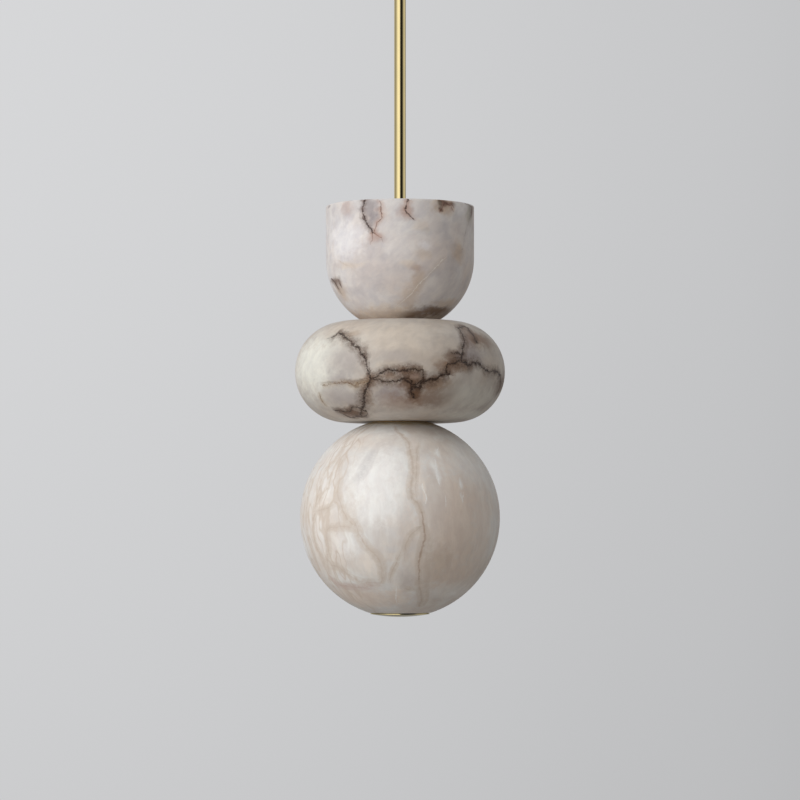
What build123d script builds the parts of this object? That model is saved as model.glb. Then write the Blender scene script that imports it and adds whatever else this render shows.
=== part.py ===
from build123d import *
import os
from math import acos, asin, cos, degrees, radians, sin, sqrt, tan

# Alabaster pendant light: a bowl, a disc and a globe of hollow alabaster are stacked on a
# threaded tube, which hangs from a brass stem, a slotted ball swivel and a ceiling plate.
# Lengths are millimetres and +Z is up. The origin is the middle of the ceiling plate's
# upper face, and everything hangs below it.

# Fits and small allowances
running_fit = 0.05
ball_fit = 0.1
loose_fit = 0.2
turning_gap = 0.3
overrun = 1.0
stone_edge = 0.6
metal_edge = 0.5

# Lamp tube, M10 x 1: the stem, the threaded tube, the nuts and the tapped holes share it
thread_radius = 5.0
tube_wall = 1.0
tube_grip = 11.0
nut_across_flats = 17.0
nut_height = 5.0

# Pressed steel ceiling plate with a dished middle, two slots and three lugs
plate_radius = 55.0
plate_thickness = 2.0
dish_radius = 15.0
dish_slope = 6.0
dish_depth = 9.0
slot_spacing = 70.0
slot_width = 5.4
slot_length = 14.0
lug_count = 3
lug_start = 90.0
lug_width = 12.0
lug_length = 14.0
lug_screw_drop = 10.0

# Mains cable bush
inlet_place = 46.0
inlet_bore = 4.0
bush_wall = 2.0
bush_flange = 2.0
bush_flange_thickness = 1.5
bush_recess = 0.2

# Terminal block
block_place = 30.0
block_length = 30.0
block_width = 15.0
block_height = 12.0
pole_count = 3
pole_spacing = 9.0
wire_hole_radius = 2.0
barrel_wall = 0.6
wire_hole_rise = 7.0
well_spacing = 8.0
well_radius = 1.7
terminal_screw_length = 3.0
screw_slot_width = 0.6
screw_slot_depth = 0.8

# Constant current driver for the light sources
driver_place = 35.0
driver_length = 56.0
driver_width = 24.0
driver_height = 18.0
driver_corner = 3.0
driver_foot = 8.0
driver_foot_width = 12.0
driver_foot_thickness = 2.0
driver_wire_radius = 2.5
driver_screw_radius = 1.5
driver_screw_head = 2.8
driver_screw_head_height = 1.8

# Brass canopy and its side screws
canopy_radius = 60.0
canopy_height = 34.0
canopy_wall = 1.2
canopy_corner = 9.0
canopy_reveal = 0.5
canopy_lip = 1.6
canopy_screw_radius = 2.0
canopy_screw_head_radius = 4.0
canopy_screw_head_height = 5.0
canopy_screw_reach = 2.0

# Slotted ball swivel
spindle_bore = 3.25
spindle_head_radius = 7.5
spindle_head_height = 3.0
spindle_above_nut = 1.5
cap_radius = 13.5
cap_wall = 4.0
head_room = 0.5
ball_radius = 11.0
ball_flat = 9.5
socket_wall = 2.4
socket_lip = 7.5
joint_rise = 6.0
joint_thread_length = 3.0
joint_thread_wall = 1.2
neck_radius = 5.0
swivel_tilt = 45.0
hub_radius = 8.0
hub_length = 17.0
hub_clearance = 0.5
grub_radius = 1.5
grub_socket_radius = 0.75
grub_rise = 6.0

# Brass stem
stem_length = 300.0

# Fixings on the bowl's floor
coupler_radius = 8.0
coupler_height = 24.0
clamp_radius = 25.0
clamp_thickness = 3.0
felt_thickness = 1.0

# Alabaster bowl, the top stone
bowl_radius = 63.5
bowl_height = 98.2
bowl_corner = 61.0
bowl_foot_radius = 31.4
bowl_wall = 10.0
bowl_floor = 14.0

# Alabaster disc, the middle stone: its edge is a full half round
disc_radius = 90.0
disc_height = 85.5
disc_wall = 12.0

# Alabaster globe, the bottom stone: a sphere cut flat above and below
globe_radius = 85.7
globe_flat_radius = 27.0
globe_wall = 13.0

# Steel plates that centre the stones on each other
mouth_radius = 20.0
flange_radius = 24.0
flange_thickness = 2.5
spigot_length = 6.0
upper_spigot_length = 5.0
gasket_thickness = 0.8
gasket_bore = 12.0
wire_port_radius = 3.5
wire_port_place = 12.5
wire_port_count = 3

# Domed brass plate under the globe, which carries the three stones
bottom_radius = 25.5
bottom_rim = 0.7
bottom_dome = 2.5
bottom_soften = 0.3
bottom_felt_thickness = 0.5
bottom_hub_radius = 9.0
bottom_hub_height = 13.0
bottom_edge = 0.8

# Light sources: six-sided aluminium cores with a board on each side
core_sides = 6
disc_core_across = 24.0
disc_core_height = 36.0
globe_core_across = 26.0
globe_core_height = 60.0
board_thickness = 1.6
board_side_margin = 0.8
board_end_margin = 2.0
led_size = 3.0
led_height = 0.8
led_pitch = 9.0

# Uplight in the bowl
uplight_inner = 12.0
uplight_leds = 12
diffuser_radius = 33.0
diffuser_wall = 2.0
diffuser_height = 12.0

# Levels, worked out downwards from the ceiling
dish_floor_z = -dish_depth
dish_under_z = dish_floor_z - plate_thickness
canopy_under_z = -canopy_height
cap_top_z = canopy_under_z - turning_gap
head_top_z = cap_top_z - cap_wall - ball_fit
head_under_z = head_top_z - spindle_head_height
ball_z = head_under_z - turning_gap - ball_radius
hub_top_z = ball_z - ball_radius - ball_fit - socket_wall - hub_clearance
hub_under_z = hub_top_z - hub_length
stem_top_z = hub_under_z + tube_grip
stem_under_z = stem_top_z - stem_length
coupler_top_z = stem_under_z + tube_grip
coupler_under_z = coupler_top_z - coupler_height
clamp_top_z = coupler_under_z - nut_height
clamp_under_z = clamp_top_z - clamp_thickness
bowl_floor_z = clamp_under_z - felt_thickness
bowl_under_z = bowl_floor_z - bowl_floor
bowl_rim_z = bowl_under_z + bowl_height
disc_top_z = bowl_under_z - gasket_thickness
disc_under_z = disc_top_z - disc_height
disc_z = disc_top_z - disc_height / 2
globe_top_z = disc_under_z - gasket_thickness
globe_half = sqrt(globe_radius**2 - globe_flat_radius**2)
globe_z = globe_top_z - globe_half
globe_under_z = globe_z - globe_half
bottom_top_z = globe_under_z - bottom_felt_thickness
bottom_under_z = bottom_top_z - bottom_rim - bottom_dome
threaded_top_z = coupler_under_z + tube_grip
threaded_under_z = bottom_top_z + bottom_hub_height - tube_grip

lug_place = plate_radius - plate_thickness / 2


# Ceiling plate: dished so that the upper nut clears the ceiling
with BuildPart() as ceiling_plate:
    with BuildSketch(Plane.XZ):
        with BuildLine():
            Polyline(
                (thread_radius + loose_fit, dish_floor_z),
                (dish_radius, dish_floor_z),
                (dish_radius + dish_slope, 0),
                (plate_radius, 0),
                (plate_radius, -plate_thickness),
                (dish_radius + dish_slope, -plate_thickness),
                (dish_radius, dish_under_z),
                (thread_radius + loose_fit, dish_under_z),
                close=True,
            )
        make_face()
    revolve(axis=Axis.Z)
    with PolarLocations(lug_place, lug_count, start_angle=lug_start):
        Box(
            plate_thickness,
            lug_width,
            lug_length,
            align=(Align.CENTER, Align.CENTER, Align.MAX),
        )
    with BuildSketch(Plane.XY):
        with GridLocations(slot_spacing, 0, 2, 1):
            SlotOverall(slot_length, slot_width)
        with Locations((0, -inlet_place)):
            Circle(inlet_bore + bush_wall)
        with Locations((0, driver_place)):
            with GridLocations(driver_length + driver_foot, 0, 2, 1):
                Circle(driver_screw_radius)
    extrude(amount=-(plate_thickness + overrun), mode=Mode.SUBTRACT)
    with PolarLocations(lug_place, lug_count, start_angle=lug_start):
        with Locations((0, 0, -lug_screw_drop)):
            Cylinder(
                canopy_screw_radius,
                plate_thickness + overrun,
                rotation=(0, 90, 0),
                mode=Mode.SUBTRACT,
            )
ceiling_plate.part.label = "ceiling_plate"


# Bush round the mains inlet
with BuildPart() as cable_bush:
    with BuildSketch(Plane.XY.offset(-plate_thickness)):
        with Locations((0, -inlet_place)):
            Circle(inlet_bore + bush_wall + bush_flange)
            Circle(inlet_bore, mode=Mode.SUBTRACT)
    extrude(amount=-bush_flange_thickness)
    with BuildSketch(Plane.XY.offset(-plate_thickness)):
        with Locations((0, -inlet_place)):
            Circle(inlet_bore + bush_wall)
            Circle(inlet_bore, mode=Mode.SUBTRACT)
    extrude(amount=plate_thickness - bush_recess)
cable_bush.part.label = "cable_bush"


# Terminal block: a tunnel for each pole and two screw wells into it
block_under_z = -plate_thickness - block_height
tunnel_z = block_under_z + wire_hole_rise
with BuildPart() as terminal_block:
    with BuildSketch(Plane.XY.offset(-plate_thickness)):
        with Locations((0, -block_place)):
            RectangleRounded(block_length, block_width, stone_edge)
    extrude(amount=-block_height)
    with BuildSketch(Plane.XY.offset(block_under_z)):
        with Locations((0, -block_place)):
            with GridLocations(pole_spacing, well_spacing, pole_count, 2):
                Circle(well_radius)
    extrude(amount=wire_hole_rise, mode=Mode.SUBTRACT)
    with BuildSketch(Plane.XZ.offset(block_place)):
        with Locations((0, tunnel_z)):
            with GridLocations(pole_spacing, 0, pole_count, 1):
                Circle(wire_hole_radius)
    extrude(amount=block_width / 2 + overrun, both=True, mode=Mode.SUBTRACT)
terminal_block.part.label = "terminal_block"

with BuildPart() as terminal_barrels:
    with BuildSketch(Plane.XZ.offset(block_place)):
        with Locations((0, tunnel_z)):
            with GridLocations(pole_spacing, 0, pole_count, 1):
                Circle(wire_hole_radius)
                Circle(wire_hole_radius - barrel_wall, mode=Mode.SUBTRACT)
    extrude(amount=block_width / 2 - overrun, both=True)
terminal_barrels.part.label = "terminal_barrels"

terminal_screw_z = tunnel_z - wire_hole_radius
with BuildPart() as terminal_screws:
    with BuildSketch(Plane.XY.offset(terminal_screw_z)):
        with Locations((0, -block_place)):
            with GridLocations(pole_spacing, well_spacing, pole_count, 2):
                Circle(well_radius)
    extrude(amount=-terminal_screw_length)
    with BuildSketch(Plane.XY.offset(terminal_screw_z - terminal_screw_length)):
        with Locations((0, -block_place)):
            with GridLocations(pole_spacing, well_spacing, pole_count, 2):
                Rectangle(2 * well_radius + overrun, screw_slot_width)
    extrude(amount=screw_slot_depth, mode=Mode.SUBTRACT)
terminal_screws.part.label = "terminal_screws"


# Driver: a moulded case with a screw foot at each end
driver_under_z = -plate_thickness - driver_height
with BuildPart() as led_driver:
    with BuildSketch(Plane.XY.offset(-plate_thickness)):
        with Locations((0, driver_place)):
            RectangleRounded(driver_length, driver_width, driver_corner)
    extrude(amount=-driver_height)
    fillet(
        led_driver.faces().sort_by(Axis.Z)[0].edges(),
        radius=driver_corner / 2,
    )
    with BuildSketch(Plane.XY.offset(-plate_thickness)):
        with Locations((0, driver_place)):
            SlotOverall(driver_length + 2 * driver_foot, driver_foot_width)
            with GridLocations(driver_length + driver_foot, 0, 2, 1):
                Circle(driver_screw_radius, mode=Mode.SUBTRACT)
    extrude(amount=-driver_foot_thickness)
    with BuildSketch(Plane.YZ.offset(driver_length / 2)):
        with Locations((driver_place, (driver_under_z - plate_thickness) / 2)):
            Circle(driver_wire_radius)
    extrude(amount=-driver_foot, mode=Mode.SUBTRACT)
    with BuildSketch(Plane.YZ.offset(-driver_length / 2)):
        with Locations((driver_place, (driver_under_z - plate_thickness) / 2)):
            Circle(driver_wire_radius)
    extrude(amount=driver_foot, mode=Mode.SUBTRACT)
led_driver.part.label = "led_driver"

driver_foot_z = -plate_thickness - driver_foot_thickness
with BuildPart() as driver_screws:
    with BuildSketch(Plane.XY.offset(driver_foot_z)):
        with Locations((0, driver_place)):
            with GridLocations(driver_length + driver_foot, 0, 2, 1):
                Circle(driver_screw_head)
    extrude(amount=-driver_screw_head_height)
    with BuildSketch(Plane.XY.offset(driver_foot_z)):
        with Locations((0, driver_place)):
            with GridLocations(driver_length + driver_foot, 0, 2, 1):
                Circle(driver_screw_radius)
    extrude(amount=driver_foot_thickness + plate_thickness - bush_recess)
driver_screws.part.label = "driver_screws"


# Canopy: a spun brass cup, its rim turned inwards, hung on three side screws
canopy_inner = canopy_radius - canopy_wall
canopy_corner_x = canopy_radius - canopy_corner
canopy_corner_z = canopy_under_z + canopy_corner
with BuildPart() as canopy:
    with BuildSketch(Plane.XZ):
        with BuildLine():
            outer = CenterArc((canopy_corner_x, canopy_corner_z), canopy_corner, -90, 90)
            inner = CenterArc(
                (canopy_corner_x, canopy_corner_z), canopy_corner - canopy_wall, -90, 90
            )
            Polyline(
                outer @ 1,
                (canopy_radius, -canopy_reveal),
                (canopy_inner - canopy_lip, -canopy_reveal),
                (canopy_inner - canopy_lip, -canopy_reveal - canopy_wall),
                (canopy_inner, -canopy_reveal - canopy_wall),
                inner @ 1,
            )
            Polyline(
                inner @ 0,
                (thread_radius + loose_fit, canopy_under_z + canopy_wall),
                (thread_radius + loose_fit, canopy_under_z),
                outer @ 0,
            )
        make_face()
    revolve(axis=Axis.Z)
    with PolarLocations(canopy_radius, lug_count, start_angle=lug_start):
        with Locations((0, 0, -lug_screw_drop)):
            Cylinder(
                canopy_screw_radius + loose_fit,
                2 * canopy_wall + overrun,
                rotation=(0, 90, 0),
                mode=Mode.SUBTRACT,
            )
canopy.part.label = "canopy"

shank_length = canopy_radius - plate_radius + plate_thickness + canopy_screw_reach
with BuildPart() as canopy_screws:
    with PolarLocations(canopy_radius, lug_count, start_angle=lug_start):
        with Locations((0, 0, -lug_screw_drop)):
            Cylinder(
                canopy_screw_head_radius,
                canopy_screw_head_height,
                rotation=(0, 90, 0),
                align=(Align.CENTER, Align.CENTER, Align.MIN),
            )
            Cylinder(
                canopy_screw_radius,
                shank_length,
                rotation=(0, 90, 0),
                align=(Align.CENTER, Align.CENTER, Align.MAX),
            )
    fillet(
        canopy_screws.edges().filter_by(
            lambda edge: edge.geom_type == GeomType.CIRCLE
            and edge.radius == canopy_screw_head_radius
        ),
        radius=metal_edge,
    )
canopy_screws.part.label = "canopy_screws"


# Spindle: a hollow threaded stud with a head, on which the swivel turns
with BuildPart() as swivel_spindle:
    with BuildSketch(Plane.XY.offset(head_under_z)):
        Circle(spindle_head_radius)
        Circle(spindle_bore, mode=Mode.SUBTRACT)
    extrude(amount=spindle_head_height)
    with BuildSketch(Plane.XY.offset(head_top_z)):
        Circle(thread_radius)
        Circle(spindle_bore, mode=Mode.SUBTRACT)
    extrude(amount=dish_floor_z + nut_height + spindle_above_nut - head_top_z)
    chamfer(
        swivel_spindle.edges().group_by(Axis.Z)[-1].sort_by(SortBy.RADIUS)[-1],
        length=metal_edge,
    )
swivel_spindle.part.label = "swivel_spindle"

with BuildPart() as spindle_nuts:
    with BuildSketch(Plane.XY.offset(dish_floor_z), Plane.XY.offset(dish_under_z - nut_height)):
        RegularPolygon(nut_across_flats / 2, 6, major_radius=False)
        Circle(thread_radius, mode=Mode.SUBTRACT)
    extrude(amount=nut_height)
spindle_nuts.part.label = "spindle_nuts"


# Swivel cap: it turns on the spindle and screws down over the socket
joint_z = ball_z + joint_rise
joint_thread_radius = ball_radius + ball_fit + joint_thread_wall
with BuildPart() as swivel_cap:
    with BuildSketch(Plane.XY.offset(joint_z)):
        Circle(cap_radius)
    extrude(amount=cap_top_z - joint_z)
    fillet(swivel_cap.edges().group_by(Axis.Z)[-1], radius=2 * metal_edge)
    with BuildSketch(Plane.XY.offset(joint_z)):
        Circle(joint_thread_radius)
    extrude(amount=joint_thread_length, mode=Mode.SUBTRACT)
    with BuildSketch(Plane.XY.offset(joint_z)):
        Circle(ball_radius + ball_fit)
    extrude(amount=ball_z + ball_flat + ball_fit - joint_z, mode=Mode.SUBTRACT)
    with BuildSketch(Plane.XY.offset(joint_z)):
        Circle(spindle_head_radius + head_room)
    extrude(amount=cap_top_z - cap_wall - joint_z, mode=Mode.SUBTRACT)
    with BuildSketch(Plane.XY.offset(joint_z)):
        Circle(thread_radius + running_fit)
    extrude(amount=cap_top_z + overrun - joint_z, mode=Mode.SUBTRACT)
swivel_cap.part.label = "swivel_cap"


# Swivel socket: a turned cup round the ball, slotted to let the neck swing both ways
seat_radius = ball_radius + ball_fit
shell_radius = seat_radius + socket_wall
neck_slot = neck_radius + turning_gap
slot_reach = shell_radius + overrun
with BuildPart() as swivel_socket:
    with BuildSketch(Plane.XZ):
        with BuildLine():
            seat = CenterArc((0, ball_z), seat_radius, 0, -degrees(asin(socket_lip / seat_radius)))
            shell = CenterArc(
                (0, ball_z), shell_radius, 0, -degrees(asin(socket_lip / shell_radius))
            )
            Line(seat @ 1, shell @ 1)
            Polyline(
                shell @ 0,
                (shell_radius, joint_z),
                (joint_thread_radius, joint_z),
                (joint_thread_radius, joint_z + joint_thread_length),
                (seat_radius, joint_z + joint_thread_length),
                seat @ 0,
            )
        make_face()
    revolve(axis=Axis.Z)
    with BuildSketch(Plane.XZ):
        with BuildLine():
            Polyline(
                (0, ball_z),
                (-slot_reach * tan(radians(swivel_tilt)), ball_z - slot_reach),
                (slot_reach * tan(radians(swivel_tilt)), ball_z - slot_reach),
                close=True,
            )
        make_face()
    extrude(amount=neck_slot, both=True, mode=Mode.SUBTRACT)
    tilt_across = sin(radians(swivel_tilt))
    tilt_down = -cos(radians(swivel_tilt))
    with BuildSketch(
        Plane(origin=(0, 0, ball_z), z_dir=(tilt_across, 0, tilt_down)),
        Plane(origin=(0, 0, ball_z), z_dir=(-tilt_across, 0, tilt_down)),
    ):
        Circle(neck_slot)
    extrude(amount=slot_reach, mode=Mode.SUBTRACT)
swivel_socket.part.label = "swivel_socket"


# Ball stud: the ball, its neck and the tapped hub that holds the stem, bored for the wires
ball_top_radius = sqrt(ball_radius**2 - ball_flat**2)
neck_drop = sqrt(ball_radius**2 - neck_radius**2)
with BuildPart() as ball_stud:
    with BuildSketch(Plane.XZ):
        with BuildLine():
            ThreePointArc(
                (ball_top_radius, ball_z + ball_flat),
                (ball_radius, ball_z),
                (neck_radius, ball_z - neck_drop),
            )
            Polyline(
                (neck_radius, ball_z - neck_drop),
                (neck_radius, hub_top_z),
                (hub_radius, hub_top_z),
                (hub_radius, hub_under_z),
                (thread_radius, hub_under_z),
                (thread_radius, stem_top_z),
                (spindle_bore, stem_top_z),
                (spindle_bore, ball_z + ball_flat),
                (ball_top_radius, ball_z + ball_flat),
            )
        make_face()
    revolve(axis=Axis.Z)
    hub_rims = ball_stud.edges().filter_by(
        lambda edge: edge.geom_type == GeomType.CIRCLE and edge.radius == hub_radius
    )
    fillet(hub_rims, radius=metal_edge)
    with BuildSketch(Plane.XZ):
        with Locations((0, hub_under_z + grub_rise)):
            Circle(grub_radius)
    extrude(amount=-(hub_radius + overrun), mode=Mode.SUBTRACT)
ball_stud.part.label = "ball_stud"

with BuildPart() as stem_grub_screw:
    with BuildSketch(Plane.XZ.offset(-thread_radius)):
        with Locations((0, hub_under_z + grub_rise)):
            Circle(grub_radius)
    extrude(amount=-(hub_radius - thread_radius - loose_fit))
    with BuildSketch(Plane.XZ.offset(-hub_radius)):
        with Locations((0, hub_under_z + grub_rise)):
            RegularPolygon(grub_socket_radius, 6)
    extrude(amount=grub_radius, mode=Mode.SUBTRACT)
stem_grub_screw.part.label = "stem_grub_screw"


# Stem: one length of polished tube from the ball stud down to the coupler in the bowl
with BuildPart() as stem_tube:
    with BuildSketch(Plane.XY.offset(stem_under_z)):
        Circle(thread_radius)
        Circle(thread_radius - tube_wall, mode=Mode.SUBTRACT)
    extrude(amount=stem_length)
stem_tube.part.label = "stem_tube"

with BuildPart() as stem_coupler:
    with BuildSketch(Plane.XY.offset(coupler_under_z)):
        Circle(coupler_radius)
        Circle(thread_radius, mode=Mode.SUBTRACT)
    extrude(amount=coupler_height)
    fillet(stem_coupler.edges().group_by(Axis.Z)[-1].sort_by(SortBy.RADIUS)[-1], radius=metal_edge)
stem_coupler.part.label = "stem_coupler"


# Threaded tube: it runs from the coupler through all three stones to the bottom plate
with BuildPart() as threaded_tube:
    with BuildSketch(Plane.XY.offset(threaded_under_z)):
        Circle(thread_radius)
        Circle(thread_radius - tube_wall, mode=Mode.SUBTRACT)
    extrude(amount=threaded_top_z - threaded_under_z)
    with BuildSketch(Plane.XZ):
        with Locations((0, disc_top_z - disc_wall), (0, globe_z + globe_core_height)):
            Circle((thread_radius - tube_wall) / 2)
    extrude(amount=thread_radius + overrun, mode=Mode.SUBTRACT)
threaded_tube.part.label = "threaded_tube"


# Bowl floor fixings: felt, clamp plate and nut
with BuildPart() as bowl_felt:
    with BuildSketch(Plane.XY.offset(bowl_floor_z)):
        Circle(clamp_radius)
        Circle(thread_radius + loose_fit, mode=Mode.SUBTRACT)
    extrude(amount=felt_thickness)
bowl_felt.part.label = "bowl_felt"

with BuildPart() as clamp_plate:
    with BuildSketch(Plane.XY.offset(clamp_under_z)):
        Circle(clamp_radius)
        Circle(thread_radius + loose_fit, mode=Mode.SUBTRACT)
    extrude(amount=clamp_thickness)
    chamfer(clamp_plate.edges().group_by(Axis.Z)[-1].sort_by(SortBy.RADIUS)[-1], length=metal_edge)
clamp_plate.part.label = "clamp_plate"

with BuildPart() as clamp_nut:
    with BuildSketch(Plane.XY.offset(clamp_top_z)):
        RegularPolygon(nut_across_flats / 2, 6, major_radius=False)
        Circle(thread_radius, mode=Mode.SUBTRACT)
    extrude(amount=nut_height)
clamp_nut.part.label = "clamp_nut"


# Uplight: a ring board on the clamp plate under an opal cover
uplight_outer = clamp_radius - metal_edge
with BuildPart() as uplight_board:
    with BuildSketch(Plane.XY.offset(clamp_top_z)):
        Circle(uplight_outer)
        Circle(uplight_inner, mode=Mode.SUBTRACT)
    extrude(amount=board_thickness)
    with BuildSketch(Plane.XY.offset(clamp_top_z + board_thickness)):
        with PolarLocations((uplight_inner + uplight_outer) / 2, uplight_leds):
            Rectangle(led_size, led_size)
    extrude(amount=led_height)
uplight_board.part.label = "uplight_board"

with BuildPart() as uplight_diffuser:
    with BuildSketch(Plane.XY.offset(bowl_floor_z)):
        Circle(diffuser_radius)
    extrude(amount=diffuser_height)
    fillet(uplight_diffuser.edges().group_by(Axis.Z)[-1], radius=diffuser_wall)
    with BuildSketch(Plane.XY.offset(bowl_floor_z)):
        Circle(diffuser_radius - diffuser_wall)
    extrude(amount=diffuser_height - diffuser_wall, mode=Mode.SUBTRACT)
    with BuildSketch(Plane.XY.offset(bowl_floor_z)):
        Circle(coupler_radius + loose_fit)
    extrude(amount=diffuser_height + overrun, mode=Mode.SUBTRACT)
uplight_diffuser.part.label = "uplight_diffuser"


# Bowl: an open cup, straight at the rim and rounded in to a flat foot
bowl_centre_x = bowl_radius - bowl_corner
bowl_drop = sqrt(bowl_corner**2 - (bowl_foot_radius - bowl_centre_x) ** 2)
bowl_centre = (bowl_centre_x, bowl_under_z + bowl_drop)
outer_sweep = degrees(asin(bowl_drop / bowl_corner))
inner_corner = bowl_corner - bowl_wall
inner_sweep = degrees(asin((bowl_drop - bowl_floor) / inner_corner))
with BuildPart() as alabaster_bowl:
    with BuildSketch(Plane.XZ):
        with BuildLine():
            outside = CenterArc(bowl_centre, bowl_corner, 0, -outer_sweep)
            inside = CenterArc(bowl_centre, inner_corner, 0, -inner_sweep)
            Polyline(
                outside @ 0,
                (bowl_radius, bowl_rim_z),
                (bowl_radius - bowl_wall, bowl_rim_z),
                inside @ 0,
            )
            Polyline(
                outside @ 1,
                (thread_radius + loose_fit, bowl_under_z),
                (thread_radius + loose_fit, bowl_floor_z),
                inside @ 1,
            )
        make_face()
    revolve(axis=Axis.Z)
    fillet(alabaster_bowl.edges().group_by(Axis.Z)[-1], radius=stone_edge)
    fillet(
        alabaster_bowl.edges().group_by(Axis.Z)[0].sort_by(SortBy.RADIUS)[-1],
        radius=stone_edge,
    )
alabaster_bowl.part.label = "alabaster_bowl"


# Disc: hollow, with a mouth above and below and a rebate for the upper centring plate
disc_half = disc_height / 2
disc_centre = (disc_radius - disc_half, disc_z)
disc_inner = disc_half - disc_wall
rebate_radius = flange_radius + loose_fit
with BuildPart() as alabaster_disc:
    with BuildSketch(Plane.XZ):
        with BuildLine():
            edge_outside = CenterArc(disc_centre, disc_half, -90, 180)
            edge_inside = CenterArc(disc_centre, disc_inner, -90, 180)
            Polyline(
                edge_outside @ 1,
                (rebate_radius, disc_top_z),
                (rebate_radius, disc_top_z - flange_thickness),
                (mouth_radius, disc_top_z - flange_thickness),
                (mouth_radius, disc_z + disc_inner),
                edge_inside @ 1,
            )
            Polyline(
                edge_outside @ 0,
                (mouth_radius, disc_under_z),
                (mouth_radius, disc_z - disc_inner),
                edge_inside @ 0,
            )
        make_face()
    revolve(axis=Axis.Z)
alabaster_disc.part.label = "alabaster_disc"


# Globe: hollow, with a mouth and rebate above and a small hole in its flat foot
foot_hole = bottom_hub_radius + loose_fit
cavity_radius = globe_radius - globe_wall
flat_angle = degrees(acos(globe_flat_radius / globe_radius))
mouth_rise = sqrt(cavity_radius**2 - mouth_radius**2)
foot_drop = sqrt(cavity_radius**2 - foot_hole**2)
with BuildPart() as alabaster_globe:
    with BuildSketch(Plane.XZ):
        with BuildLine():
            ball_outside = CenterArc((0, globe_z), globe_radius, -flat_angle, 2 * flat_angle)
            ThreePointArc(
                (foot_hole, globe_z - foot_drop),
                (cavity_radius, globe_z),
                (mouth_radius, globe_z + mouth_rise),
            )
            Polyline(
                ball_outside @ 1,
                (rebate_radius, globe_top_z),
                (rebate_radius, globe_top_z - flange_thickness),
                (mouth_radius, globe_top_z - flange_thickness),
                (mouth_radius, globe_z + mouth_rise),
            )
            Polyline(
                ball_outside @ 0,
                (foot_hole, globe_under_z),
                (foot_hole, globe_z - foot_drop),
            )
        make_face()
    revolve(axis=Axis.Z)
    fillet(
        alabaster_globe.edges().group_by(Axis.Z)[0].sort_by(SortBy.RADIUS)[-1],
        radius=stone_edge,
    )
alabaster_globe.part.label = "alabaster_globe"


# Centring plates: flanges let into the stones, spigots in their mouths, ports for the wires
spigot_radius = mouth_radius - loose_fit
with BuildPart() as upper_centring_plate:
    with BuildSketch(Plane.XY.offset(disc_top_z - flange_thickness)):
        Circle(flange_radius)
    extrude(amount=flange_thickness)
    with BuildSketch(Plane.XY.offset(disc_top_z - flange_thickness)):
        Circle(spigot_radius)
    extrude(amount=-spigot_length)
    with BuildSketch(Plane.XY.offset(disc_top_z)):
        Circle(thread_radius + loose_fit)
        with PolarLocations(wire_port_place, wire_port_count):
            Circle(wire_port_radius)
    extrude(amount=-(flange_thickness + spigot_length + overrun), mode=Mode.SUBTRACT)
upper_centring_plate.part.label = "upper_centring_plate"

with BuildPart() as lower_centring_plate:
    with BuildSketch(Plane.XY.offset(globe_top_z - flange_thickness)):
        Circle(flange_radius)
    extrude(amount=flange_thickness)
    with BuildSketch(Plane.XY.offset(globe_top_z - flange_thickness)):
        Circle(spigot_radius)
    extrude(amount=-spigot_length)
    with BuildSketch(Plane.XY.offset(globe_top_z)):
        Circle(spigot_radius)
    extrude(amount=gasket_thickness + upper_spigot_length)
    with BuildSketch(Plane.XY.offset(globe_top_z - flange_thickness - spigot_length)):
        Circle(thread_radius + loose_fit)
        with PolarLocations(wire_port_place, wire_port_count):
            Circle(wire_port_radius)
    extrude(
        amount=spigot_length + flange_thickness + gasket_thickness + upper_spigot_length + overrun,
        mode=Mode.SUBTRACT,
    )
lower_centring_plate.part.label = "lower_centring_plate"

with BuildPart() as upper_gasket:
    with BuildSketch(Plane.XY.offset(disc_top_z)):
        Circle(flange_radius)
        Circle(gasket_bore, mode=Mode.SUBTRACT)
    extrude(amount=gasket_thickness)
upper_gasket.part.label = "upper_gasket"

with BuildPart() as lower_gasket:
    with BuildSketch(Plane.XY.offset(globe_top_z)):
        Circle(flange_radius)
        Circle(mouth_radius, mode=Mode.SUBTRACT)
    extrude(amount=gasket_thickness)
lower_gasket.part.label = "lower_gasket"


# Bottom plate: a domed brass cap and tapped hub, screwed up on the tube to carry the stones
dome_radius = (bottom_radius**2 + bottom_dome**2) / (2 * bottom_dome)
dome_angle = degrees(asin(bottom_radius / dome_radius))
with BuildPart() as bottom_plate:
    with BuildSketch(Plane.XZ):
        with BuildLine():
            dome_line = CenterArc((0, bottom_under_z + dome_radius), dome_radius, -90, dome_angle)
            Polyline(
                dome_line @ 1,
                (bottom_radius, bottom_top_z),
                (0, bottom_top_z),
                dome_line @ 0,
            )
        make_face()
    revolve(axis=Axis.Z)
    rim_edges = bottom_plate.edges().filter_by(GeomType.CIRCLE).sort_by(SortBy.LENGTH)[-2:]
    fillet(rim_edges.sort_by(Axis.Z)[0], radius=bottom_soften)
    with BuildSketch(Plane.XY.offset(bottom_top_z)):
        Circle(bottom_hub_radius)
    extrude(amount=bottom_hub_height)
    with BuildSketch(Plane.XY.offset(bottom_top_z + bottom_hub_height)):
        Circle(thread_radius)
    extrude(amount=-tube_grip, mode=Mode.SUBTRACT)
bottom_plate.part.label = "bottom_plate"

with BuildPart() as bottom_felt:
    with BuildSketch(Plane.XY.offset(bottom_top_z)):
        Circle(bottom_radius - bottom_edge)
        Circle(foot_hole, mode=Mode.SUBTRACT)
    extrude(amount=bottom_felt_thickness)
bottom_felt.part.label = "bottom_felt"


# Light source cores: an extruded six-sided bar on the tube, held by a nut at each end
with BuildPart() as disc_core:
    with BuildSketch(Plane.XY.offset(disc_z - disc_core_height / 2)):
        RegularPolygon(disc_core_across / 2, core_sides, major_radius=False)
        Circle(thread_radius, mode=Mode.SUBTRACT)
    extrude(amount=disc_core_height)
disc_core.part.label = "disc_core"

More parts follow.
